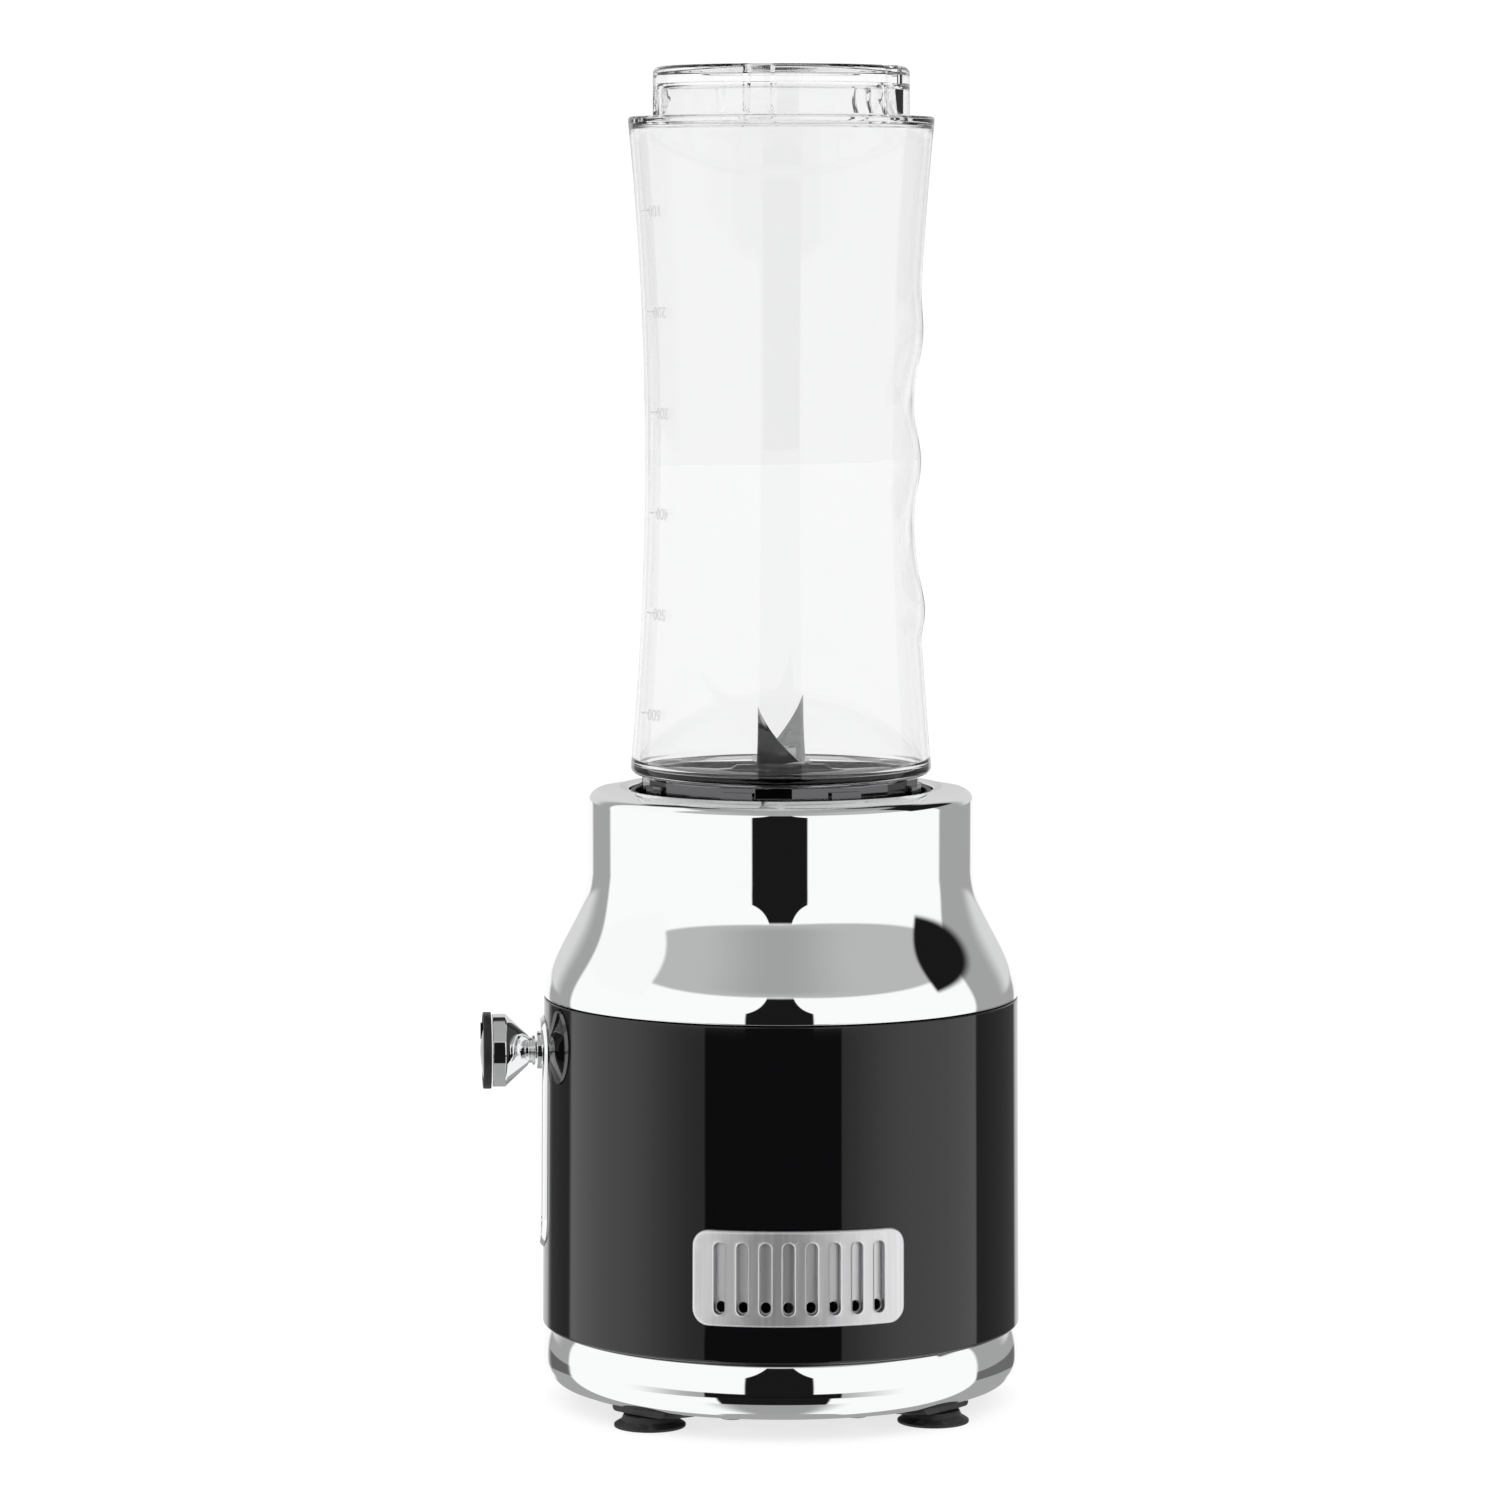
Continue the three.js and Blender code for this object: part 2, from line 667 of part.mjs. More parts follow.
function bladeCoupling() {
  const plug = raised(star(7.4, 9.6), 146.2, 152.4);
  const collar = tube(6.6, 0, 152, 153.6);
  return cut(join(plug, collar), tube(BLADE_SHAFT_R + GAP, 0, 147.4, 154, 16));
}

// ---------------------------------------------------------------- seat and interlock

function bottleSeat() {
  const { outer, inner, floor, under, top, hole } = SEAT;
  const cup = turned(
    [
      [hole, under],
      [outer, under],
      [outer, top],
      [inner, top],
      [inner, floor],
      [PEDESTAL_R, floor],
      [PEDESTAL_R, HOLDER.under - GAP],
      [28.8, HOLDER.under - GAP],
      [28.8, floor],
      [hole, floor],
    ],
    SHELL_SEGMENTS,
  );
  const ledges = BAYONET_ANGLES.map((angle) =>
    raised(sector(HOLDER_R + 0.4, inner + 0.6, angle - LEDGE_HALF_ANGLE, angle + LEDGE_HALF_ANGLE), 153.4, 156),
  );
  const stopAt = LUG_HALF_ANGLE + 0.8;
  const stops = BAYONET_ANGLES.map((angle) =>
    raised(sector(HOLDER_R + 0.4, inner + 0.6, angle - stopAt - 4, angle - stopAt, 2), 149.5, 153.9),
  );
  const posts = [30, 150, 270].map((angle) =>
    moved(tube(3.5, 0, CARRIER.high + GAP, under + 0.5, 12), ...polar(34.5, angle)),
  );
  const pinHole = moved(tube(PIN_R + GAP, 0, 135, 146, 12), ...polar(PIN_CIRCLE, PIN_ANGLE));
  return cut(join(cup, ...ledges, ...stops, ...posts), pinHole);
}

/** Domed pin with a collar for its spring. */
const PIN_TOP = HOLDER.under - PIN_TRAVEL - 0.4;
function interlockPin() {
  return turned(
    [
      [0, 126.3],
      [PIN_R, 126.3],
      [PIN_R, 136],
      [3.4, 136],
      [3.4, 137.2],
      [PIN_R, 137.2],
      [PIN_R, PIN_TOP - 0.7],
      [0.9, PIN_TOP],
      [0, PIN_TOP],
    ],
    12,
  );
}

/** Compression spring between the carrier and the pin's collar. */
function pinSpring() {
  const [low, high] = [CARRIER.high + GAP, 136 - GAP];
  const wire = 0.35;
  class Helix extends THREE.Curve {
    getPoint(t, target = new THREE.Vector3()) {
      const [x, y] = polar(2.7, 360 * 3.5 * t);
      return target.set(x, y, low + wire + (high - low - 2 * wire) * t);
    }
  }
  const section = new THREE.Shape(circle(0, 0, wire, 4).map(([x, y]) => new THREE.Vector2(x, y)));
  return closed(new THREE.ExtrudeGeometry(section, { steps: 28, extrudePath: new Helix() }));
}

const interlockSwitch = () =>
  join(block(-10, 10, -3.2, 3.2, 118, 125.4), block(-1.4, 1.4, -1.4, 1.4, 125, 126));

// ---------------------------------------------------------------- blade unit

/** Helical cam under the holder: it pushes the interlock pin down as the unit is turned home. */
function interlockCam() {
  const [from, to] = [PIN_ANGLE - UNLOCK_ANGLE, PIN_ANGLE + 6];
  const [inner, outer] = [PIN_CIRCLE - 1.7, PIN_CIRCLE + 1.9];
  const count = 10;
  const vertices = [];
  const faces = [];
  for (const t of steps(count)) {
    const angle = from + (to - from) * t;
    const drop = PIN_TRAVEL * Math.min(1, (angle - from) / UNLOCK_ANGLE);
    const bottom = HOLDER.under - drop - 0.02;
    for (const [r, z] of [[inner, bottom], [outer, bottom], [outer, HOLDER.under + 0.6], [inner, HOLDER.under + 0.6]]) {
      vertices.push(...polar(r, angle), z);
    }
  }
  for (let i = 0; i < count; i += 1) {
    for (let side = 0; side < 4; side += 1) {
      const [a, b] = [4 * i + side, 4 * i + ((side + 1) % 4)];
      faces.push(a, b, b + 4, a, b + 4, a + 4);
    }
  }
  const last = 4 * count;
  faces.push(0, 2, 1, 0, 3, 2, last, last + 1, last + 2, last, last + 2, last + 3);
  const geometry = new THREE.BufferGeometry();
  geometry.setAttribute('position', new THREE.Float32BufferAttribute(vertices, 3));
  geometry.setIndex(faces);
  return closed(geometry);
}

function bladeHolder() {
  const bushBore = 4.5;
  const shell = turned(
    [
      [bushBore, 154],
      [7.5, 154],
      [7.5, HOLDER.floorUnder],
      [PEDESTAL_R - 2, HOLDER.floorUnder],
      [PEDESTAL_R - 2, HOLDER.under],
      [HOLDER_R - 1, HOLDER.under],
      [HOLDER_R, HOLDER.under + 1],
      [HOLDER_R, HOLDER.top],
      [NECK_OUTER + 1.1, HOLDER.top],
      [NECK_OUTER + 1.1, HOLDER.groove],
      [PEDESTAL_R, HOLDER.groove],
      [PEDESTAL_R, HOLDER.floor - 0.8],
      [PEDESTAL_R - 0.8, HOLDER.floor],
      [5.5, HOLDER.floor],
      [4.9, HOLDER.floor + 1.2],
      [5.3, HUB_TOP],
      [bushBore, HUB_TOP],
    ],
    SHELL_SEGMENTS,
  );
  const lugs = BAYONET_ANGLES.map((angle) =>
    raised(sector(HOLDER_R - 0.5, SEAT.inner - 0.6, angle - LUG_HALF_ANGLE, angle + LUG_HALF_ANGLE, 4), 150, 153),
  );
  const grips = steps(8).slice(1).map((t) =>
    raised(sector(HOLDER_R - 0.5, HOLDER_R + 1.1, 360 * t - 6.5 + 22.5, 360 * t + 6.5 + 22.5, 2), 160.4, 163.8),
  );
  const ribSide = [[4.8, HOLDER.floor - 0.5], [17, HOLDER.floor - 0.5], [17, HOLDER.floor], [11.5, 168], [4.8, 168]];
  const rib = raised(ribSide, -1, 1).rotateX(Math.PI / 2).rotateZ(Math.PI / 2);
  return join(shell, ...lugs, ...grips, interlockCam(), rib, turnedBy(rib, 180));
}

/** Plate over the hub with one upswept fin at each end, the two alike by a half turn. */
function blade() {
  const { z, sheet, halfWidth, fold, tipRadius, tipZ } = BLADE;
  const hole = circle(0, 0, 2.7, 16);
  const centre = raised(roundedRectangle(fold + 0.6, halfWidth, 2.4), z, z + sheet, [hole]);
  const slope = Math.hypot(tipRadius - fold, tipZ - z - sheet);
  const lean = Math.atan2(tipZ - z - sheet, tipRadius - fold);
  const finOutline = [
    [0, -halfWidth],
    [slope, -halfWidth - 0.4],
    [slope * 0.64, -halfWidth + 2.5],
    [slope * 0.38, -1.6],
    [slope * 0.08, 1.8],
    [0, 5],
  ];
  const fin = raised(finOutline, -sheet / 2, sheet / 2)
    .rotateY(-lean)
    .translate(fold, 0, z + sheet / 2);
  return join(centre, fin, turnedBy(fin, 180));
}

const bladeShaft = () =>
  turned(
    [
      [0, 147.8],
      [BLADE_SHAFT_R, 147.8],
      [BLADE_SHAFT_R, BLADE.z - GAP],
      [2.4, BLADE.z - GAP],
      [2.4, 173],
      [0, 173],
    ],
    16,
  );

const bladeNut = () => raised(circle(0, 0, NUT.r, 6), NUT.low, NUT.high, [circle(0, 0, 2.7, 12)]);

// ---------------------------------------------------------------- bottle

const wallRadius = (z) =>
  WAIST.r + WAIST.curve - Math.sqrt(WAIST.curve ** 2 - (z - WAIST.z) ** 2);

/** Waisted body with a threaded neck below and a stepped foot on top, open at the neck. */
function bottle() {
  const outside = steps(5).map((t) => {
    const z = BOTTLE_LOW + 2.6 + (SHOULDER_Z - 1.4 - BOTTLE_LOW - 2.6) * t;
    return [wallRadius(z), z];
  });
  const inside = steps(4).map((t) => {
    const z = SHOULDER_Z - 3 - (SHOULDER_Z - 3 - BOTTLE_LOW - 3.4) * t;
    return [wallRadius(z) - BOTTLE_WALL, z];
  });
  return turned(
    [
      [0, HEIGHT - 2.2],
      [26, HEIGHT - 2.2],
      [27.5, HEIGHT],
      [CAP_R - 1.2, HEIGHT],
      [CAP_R, HEIGHT - 1.2],
      [CAP_R, SHOULDER_Z],
      [wallRadius(SHOULDER_Z) - 1.4, SHOULDER_Z],
      ...outside.reverse(),
      [39, BOTTLE_LOW + 0.7],
      [37, BOTTLE_LOW],
      [NECK_OUTER, BOTTLE_LOW - 0.4],
      [NECK_OUTER, 162.2],
      [NECK_OUTER + 0.7, 161.2],
      [NECK_OUTER, 160.2],
      [NECK_OUTER, NECK_END],
      [NECK_INNER, NECK_END],
      [NECK_INNER, BOTTLE_LOW - 0.6],
      [35.6, BOTTLE_LOW + 1.8],
      ...inside.reverse(),
      [CAP_R - BOTTLE_WALL, SHOULDER_Z - 1.8],
      [CAP_R - BOTTLE_WALL, HEIGHT - 4.4],
      [0, HEIGHT - 4.4],
    ],
    20,
  );
}

// ---------------------------------------------------------------- assembly

add('upper_housing', 'chrome', upperHousing());
add('body_shell', 'blackGloss', bodySleeve());
add('base_ring', 'chrome', baseRing());
add('bottom_cover', 'blackPlastic', bottomCover());
FOOT_ANGLES.forEach((angle, i) => {
  add(`foot_${i + 1}`, 'rubber', moved(foot(), ...polar(FOOT_CIRCLE, angle)));
});
TIE_ANGLES.forEach((angle, i) => {
  add(`tie_screw_${i + 1}`, 'steel', moved(tieScrew(), ...polar(TIE_CIRCLE, angle)));
});
add('grille_right', 'satinChrome', grille());
add('grille_left', 'satinChrome', turnedBy(grille(), 180));
add('control_plate', 'chrome', controlPlate());

add('knob_body', 'chrome', knobBody());
add('knob_band', 'blackPlastic', knobBand());
add('knob_cap', 'chrome', knobCap());
add('switch_shaft', 'steel', switchShaft());
add('rotary_switch', 'blackPlastic', rotarySwitch());

add('stator_core', 'lamination', stator());
add('field_coil_right', 'copper', fieldCoil());
add('field_coil_left', 'copper', turnedBy(fieldCoil(), 180));
STATOR_BOLTS.forEach(([x, y], i) => {
  add(`stator_bolt_${i + 1}`, 'steel', moved(statorBolt(), x, y));
});
add('upper_bracket', 'aluminium', upperBracket());
add('lower_bracket', 'aluminium', lowerBracket());
add('upper_bearing', 'steel', bearing(BRACKET.low + 0.4 + GAP));
add('lower_bearing', 'steel', bearing(LOWER_BRACKET.low - 6.6 + GAP));
add('brush_holder_rear', 'bronze', brushHolder());
add('brush_holder_front', 'bronze', turnedBy(brushHolder(), 180));
add('brush_rear', 'carbon', brush());
add('brush_front', 'carbon', turnedBy(brush(), 180));
add('motor_carrier', 'blackPlastic', motorCarrier());
DAMPER_ANGLES.forEach((angle, i) => {
  add(`damper_${i + 1}`, 'rubber', moved(damper(), ...polar(DAMPER_CIRCLE, angle)));
});

add('motor_shaft', 'steel', motorShaft());
add('armature_core', 'lamination', armatureCore());
add('armature_winding', 'copper', armatureWinding());
add('commutator', 'copper', commutator());
add('cooling_fan', 'nylon', coolingFan());
add('drive_coupling', 'nylon', driveCoupling());

add('circuit_board', 'board', block(-22, 22, 45, 46.6, 60, 95));
add('capacitor', 'capacitorCase', block(-10, 10, 33, 45 - GAP, 64, 79));
add(
  'cord_gland',
  'blackPlastic',
  turned([[3.2, 55], [7.5, 55], [7.5, 59.5], [4.9, 59.5], [4.9, 62.7], [3.2, 62.7]])
    .rotateX(-Math.PI / 2)
    .translate(0, 0, GLAND_Z),
);

add('bottle_seat', 'blackPlastic', bottleSeat());
add('interlock_switch', 'blackPlastic', moved(interlockSwitch(), ...polar(PIN_CIRCLE, PIN_ANGLE)));
add('interlock_pin', 'nylon', moved(interlockPin(), ...polar(PIN_CIRCLE, PIN_ANGLE)));
add('pin_spring', 'steel', moved(pinSpring(), ...polar(PIN_CIRCLE, PIN_ANGLE)));

add('blade_holder', 'chrome', bladeHolder());
add('gasket', 'silicone', tube(34.4, 31.4, HOLDER.groove + GAP, NECK_END - GAP, SHELL_SEGMENTS));
add('blade_bush', 'bronze', tube(4.2, BLADE_SHAFT_R + GAP, 154, 165.6, 16));
add('shaft_seal', 'rubber', tube(4.2, BLADE_SHAFT_R + GAP, 165.9, HUB_TOP - 0.1, 16));
add('blade_shaft', 'steel', bladeShaft());
add('blade', 'steel', blade());
add('blade_nut', 'steel', bladeNut());
add('blade_coupling', 'nylon', bladeCoupling());
add('bottle', 'clear', bottle());

const model = new THREE.Group();
model.position.y = AXIS_Y;
for (const { name, materialName, geometry } of parts) {
  const mesh = new THREE.Mesh(geometry, MATERIALS[materialName]);
  mesh.name = name;
  model.add(mesh);
}

const blender = new THREE.Group();
blender.add(model);
export default blender;
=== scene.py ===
"""A personal blender: inverted clear bottle, chrome housing over a black sleeve, front knob, side grilles.

Lengths are millimetres until a mesh is made. Radii are measured from the drive axis, and polar angles from
+X towards +Y. The knob faces -Y.
"""

import json
import math

import bmesh
import bpy
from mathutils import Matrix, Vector
from mathutils.geometry import delaunay_2d_cdt


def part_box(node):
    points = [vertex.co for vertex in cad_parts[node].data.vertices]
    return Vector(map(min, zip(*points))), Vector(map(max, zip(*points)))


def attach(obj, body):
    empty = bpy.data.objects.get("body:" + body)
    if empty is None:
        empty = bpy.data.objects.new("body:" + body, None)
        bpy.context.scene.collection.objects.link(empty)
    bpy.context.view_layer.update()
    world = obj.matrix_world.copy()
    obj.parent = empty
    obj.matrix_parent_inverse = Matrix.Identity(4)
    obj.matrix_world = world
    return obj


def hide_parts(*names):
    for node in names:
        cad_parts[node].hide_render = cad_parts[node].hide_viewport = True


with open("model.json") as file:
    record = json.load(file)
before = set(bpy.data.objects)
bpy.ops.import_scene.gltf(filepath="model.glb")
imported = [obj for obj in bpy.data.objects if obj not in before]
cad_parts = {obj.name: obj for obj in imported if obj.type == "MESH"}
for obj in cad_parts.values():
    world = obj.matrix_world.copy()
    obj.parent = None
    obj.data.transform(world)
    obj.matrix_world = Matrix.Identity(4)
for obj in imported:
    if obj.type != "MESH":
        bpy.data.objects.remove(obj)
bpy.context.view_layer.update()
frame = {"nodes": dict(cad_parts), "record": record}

MM = 0.001


def frame_box(node):
    """Lowest and highest corner of a frame node, in millimetres."""
    low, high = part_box(node)
    return low / MM, high / MM


def heights(node):
    """Lowest and highest z of a frame node."""
    low, high = frame_box(node)
    return low.z, high.z


def depths(node):
    """Distances of a frame node's front and back from the drive axis, towards the front."""
    low, high = frame_box(node)
    return AXIS_Y - low.y, AXIS_Y - high.y


# ---------------------------------------------------------------- sizes taken from the frame

AXIS_Y = (frame_box("motor_shaft")[0].y + frame_box("motor_shaft")[1].y) / 2
SLEEVE_LOW, SLEEVE_HIGH = heights("body_shell")
HOUSING_LOW, LIP_Z = heights("upper_housing")
RING_LOW, SPIGOT_TOP = heights("base_ring")
PAD_LOW, COVER_TOP = heights("bottom_cover")
GRILLE_LOW, GRILLE_HIGH = heights("grille_right")
PLATE_LOW, PLATE_HIGH = heights("control_plate")
SEAT_LOW, SEAT_TOP = heights("bottle_seat")
HOLDER_LOW = heights("blade_holder")[0]
NECK_END, BOTTLE_TOP = heights("bottle")
BAND_LOW, BAND_HIGH = heights("knob_band")
KNOB_Z = (BAND_LOW + BAND_HIGH) / 2
BAND_R = (BAND_HIGH - BAND_LOW) / 2
BAND_FACE, BAND_BACK = depths("knob_band")
KNOB_FACE = depths("knob_cap")[0]
KNOB_FOOT = depths("knob_body")[1]
GLAND_Z = sum(heights("cord_gland")) / 2
BLADE_Z, BLADE_TIP_Z = heights("blade")

# ---------------------------------------------------------------- sizes of the shapes

FINE = 192  # segments of the large round pieces
MEDIUM = 96
SMALL = 48
SHEET_POINTS = 1.6  # distance between the points inside a bent sheet
SEAM = 0.15  # half of the gap between two casings

SLEEVE_R = 63.0
SLEEVE_TOP_R = 62.4
WALL = 2.4
COLLAR_R = 50.6
COLLAR_Z = 141.0
OPENING_R = 39.9

GRILLE_ARC = 55.5
GRILLE_CORNER = 4.3
SLOT_COUNT = 8
SLOT_PITCH = 5.87
SLOT_HALF = (1.38, 9.2)  # half width and half height
LINER_BACK = -2.0  # distances from the sleeve's outer face
LINER_FACE = -1.0

PLATE_HALF = 9.3

FOOT_ANGLES = (45, 135, 225, 315)
FOOT_CIRCLE = 52.0
PAD_CIRCLE = 46.5
PAD_R = 13.5
TIE_ANGLES = (20, 160, 200, 340)
TIE_CIRCLE = 47.0

LUG_ANGLES = (30, 150, 270)
PEDESTAL_R = 30.6

NECK_R = 33.6
NECK_BORE = 31.5
BOTTLE_LOW = 165.7
SHOULDER_Z = 337.0
WAIST_R = 35.6
WAIST_Z = 250.0
WAIST_CURVE = 870.0
CAP_R = 33.4
BOTTLE_WALL = 2.1


def sleeve_radius(z):
    """Outer radius of the black sleeve, which tapers a little towards the top."""
    return SLEEVE_R + (SLEEVE_TOP_R - SLEEVE_R) * (z - SLEEVE_LOW) / (SLEEVE_HIGH - SLEEVE_LOW)


# ---------------------------------------------------------------- shape helpers


def polar(radius, degrees):
    turn = math.radians(degrees)
    return radius * math.cos(turn), radius * math.sin(turn)


def spread(start, end, count):
    """count + 1 values from start to end."""
    return [start + (end - start) * i / count for i in range(count + 1)]


def smooth_step(t):
    t = min(1.0, max(0.0, t))
    return t * t * (3 - 2 * t)


def bump_at(value, middle, width):
    return math.exp(-(((value - middle) / width) ** 2))


def filleted(corners, closed=True, detail=6):
    """A profile of (a, b) or (a, b, fillet) corners, with its fillets drawn as arcs."""
    points = []
    count = len(corners)
    for i, corner in enumerate(corners):
        here = Vector(corner[:2])
        radius = corner[2] if len(corner) > 2 else 0
        if radius == 0 or (not closed and i in (0, count - 1)):
            points.append((here.x, here.y))
            continue
        before = Vector(corners[i - 1][:2]) - here
        after = Vector(corners[(i + 1) % count][:2]) - here
        half = before.angle(after) / 2
        reach = min(radius / math.tan(half), before.length * 0.49, after.length * 0.49)
        radius = reach * math.tan(half)
        middle = here + (before.normalized() + after.normalized()).normalized() * (radius / math.sin(half))
        start = here + before.normalized() * reach - middle
        end = here + after.normalized() * reach - middle
        sweep = start.angle_signed(end) if start.length * end.length else 0
        for t in spread(0, 1, detail):
            turn = -sweep * t
            x = start.x * math.cos(turn) - start.y * math.sin(turn)
            y = start.x * math.sin(turn) + start.y * math.cos(turn)
            points.append((middle.x + x, middle.y + y))
    return points


def on_drive_axis(x, y, z):
    return x, y + AXIS_Y, z


def out_of_front(x, y, z):
    """For pieces made along +Z: the knob's axis, which points to -Y."""
    return x, AXIS_Y - z, KNOB_Z + y


def out_of_rear(x, y, z):
    return -x, AXIS_Y + z, GLAND_Z + y


def on_sleeve(middle_angle):
    """Wraps (along, height, proud) points round the sleeve, centred on a polar angle."""

    def place(along, height, proud):
        turn = math.radians(middle_angle) + along / SLEEVE_R
        radius = sleeve_radius(height) + proud
        return radius * math.cos(turn), AXIS_Y + radius * math.sin(turn), height

    return place


def add_object(name, data):
    obj = bpy.data.objects.new(name, data)
    bpy.context.scene.collection.objects.link(obj)
    return obj


def mesh_object(name, points, faces, place=on_drive_axis, sharp=35):
    """An object with smooth faces, and sharp edges where two faces meet at more than that angle."""
    mesh = bpy.data.meshes.new(name)
    mesh.from_pydata([[c * MM for c in place(*p)] for p in points], [], faces)
    mesh.validate()
    obj = add_object(name, mesh)
    tidy_normals(obj, sharp)
    return obj


def tidy_normals(obj, sharp=35):
    """Faces pointing out, smooth shading, sharp edges by angle."""
    edit = bmesh.new()
    edit.from_mesh(obj.data)
    bmesh.ops.remove_doubles(edit, verts=edit.verts, dist=1e-7)
    bmesh.ops.recalc_face_normals(edit, faces=edit.faces)
    edit.to_mesh(obj.data)
    edit.free()
    obj.data.polygons.foreach_set("use_smooth", [True] * len(obj.data.polygons))
    obj.data.set_sharp_from_angle(angle=math.radians(sharp))


def grid_faces(rows, columns, rows_close):
    """Quads between neighbouring rings of points."""
    faces = []
    for i in range(rows if rows_close else rows - 1):
        for j in range(columns):
            i2, j2 = (i + 1) % rows, (j + 1) % columns
            faces.append((i * columns + j, i * columns + j2, i2 * columns + j2, i2 * columns + j))
    return faces


def turned(name, profile, segments=MEDIUM, place=on_drive_axis, radius_at=None, sharp=35, centre=(0, 0)):
    """A profile of (radius, z) points turned about an axis. radius_at(row, radius, z, turn) may shape
    the rows."""
    points = []
    for row, (radius, z) in enumerate(profile):
        for j in range(segments):
            turn = 2 * math.pi * j / segments
            r = radius_at(row, radius, z, turn) if radius_at else radius
            points.append((centre[0] + r * math.cos(turn), centre[1] + r * math.sin(turn), z))
    on_axis = profile[0][0] == 0 and profile[-1][0] == 0
    faces = grid_faces(len(profile), segments, rows_close=not on_axis)
    return mesh_object(name, points, faces, place, sharp)


def rod(name, radius, low, high, place=on_drive_axis, centre=(0, 0)):
    """A plain cylinder, mostly for drilling holes."""
    return turned(name, [(0, low), (radius, low), (radius, high), (0, high)], SMALL, place, centre=centre)


def rods(radius, low, high, circle, angles):
    """Rods round the drive axis."""
    return [rod(f"rod_{angle}", radius, low, high, centre=polar(circle, angle)) for angle in angles]


def raised(name, outline, low, high, place=on_drive_axis):
    """A flat outline of (x, y) points raised from low to high."""
    count = len(outline)
    points = [(x, y, low) for x, y in outline] + [(x, y, high) for x, y in outline]
    sides = [(i, (i + 1) % count, count + (i + 1) % count, count + i) for i in range(count)]
    faces = [tuple(reversed(range(count))), tuple(range(count, 2 * count)), *sides]
    return mesh_object(name, points, faces, place)


def moved(loop, x, y):
    """A flat loop moved sideways."""
    return [(x + px, y + py) for px, py in loop]


def rotated(loop, degrees):
    """A flat loop turned about the origin."""
    c, s = polar(1, degrees)
    return [(x * c - y * s, x * s + y * c) for x, y in loop]


def arc(cx, cy, radius, start, end, count):
    return moved([polar(radius, a) for a in spread(start, end, count)], cx, cy)


def sector(inner, outer, start, end):
    return arc(0, 0, outer, start, end, 12) + arc(0, 0, inner, end, start, 12)


def rounded_rectangle(half_x, half_y, corner, count=8, along=0):
    """A rounded rectangle. along is the number of extra points on each long side, for bending."""
    x, y = half_x - corner, half_y - corner
    top = [(t, half_y) for t in spread(x, -x, along + 1)[1:-1]]
    bottom = [(-t, -half_y) for t, _ in top]
    upper = arc(x, y, corner, 0, 90, count) + top + arc(-x, y, corner, 90, 180, count)
    return upper + arc(-x, -y, corner, 180, 270, count) + bottom + arc(x, -y, corner, 270, 360, count)


def pill(half_x, half_y, count=16):
    return rounded_rectangle(half_x, half_y, min(half_x, half_y), count // 2)


def combine(obj, operation, *tools):
    """Applies boolean cuts or joins, and deletes the tools."""
    for tool in tools:
        step = obj.modifiers.new("join", "BOOLEAN")
        step.operation = operation
        step.solver = "EXACT"
        step.object = tool
    apply_modifiers(obj)
    for tool in tools:
        bpy.data.objects.remove(tool)
    return obj


def apply_modifiers(obj):
    evaluated = obj.evaluated_get(bpy.context.evaluated_depsgraph_get())
    mesh = bpy.data.meshes.new_from_object(evaluated)
    obj.modifiers.clear()
    old = obj.data
    obj.data = mesh
    mesh.name = old.name
    bpy.data.meshes.remove(old)
    tidy_normals(obj)


def soften(obj, width, segments=3, angle=30):
    """Small round edges."""
    step = obj.modifiers.new("soft edges", "BEVEL")
    step.width = width * MM
    step.segments = segments
    step.limit_method = "ANGLE"
    step.angle_limit = math.radians(angle)
    step.harden_normals = True
    return obj


def merged(name, *objects):
    """Several separate solids as one object."""
    edit = bmesh.new()
    for obj in objects:
        edit.from_mesh(obj.data)
        bpy.data.objects.remove(obj)
    mesh = bpy.data.meshes.new(name)
    edit.to_mesh(mesh)
    edit.free()
    made = add_object(name, mesh)
    tidy_normals(made)
    return made


def inside(point, loop):
    """Whether a flat point lies inside a loop."""
    x, y = point
    odd = False
    for (x0, y0), (x1, y1) in zip(loop, loop[1:] + loop[:1]):
        if (y0 > y) != (y1 > y) and x < (x1 - x0) * (y - y0) / (y1 - y0) + x0:
            odd = not odd
    return odd


def flat_triangles(outline, holes, spacing):
    """Points and triangles that fill an outline around its holes, with extra points for bending."""
    loops = [outline, *holes]
    points = [p for loop in loops for p in loop]
    edges = []
    start = 0
    for loop in loops:
        edges += [(start + i, start + (i + 1) % len(loop)) for i in range(len(loop))]
        start += len(loop)
    xs, ys = [p[0] for p in outline], [p[1] for p in outline]
    margin = spacing * 0.4
    for x in spread(min(xs), max(xs), round((max(xs) - min(xs)) / spacing)):
        for y in spread(min(ys), max(ys), round((max(ys) - min(ys)) / spacing)):
            clear = all(math.dist((x, y), p) > margin for p in points[:start])
            if clear and inside((x, y), outline) and not any(inside((x, y), h) for h in holes):
                points.append((x, y))
    found = delaunay_2d_cdt([Vector(p) for p in points], edges, [], 0, 1e-6)
    kept = []
    for face in found[2]:
        middle = sum((found[0][i] for i in face), Vector((0, 0))) / len(face)
        if inside(middle, outline) and not any(inside(middle, h) for h in holes):
            kept.append(tuple(face))
    return [tuple(p) for p in found[0]], kept


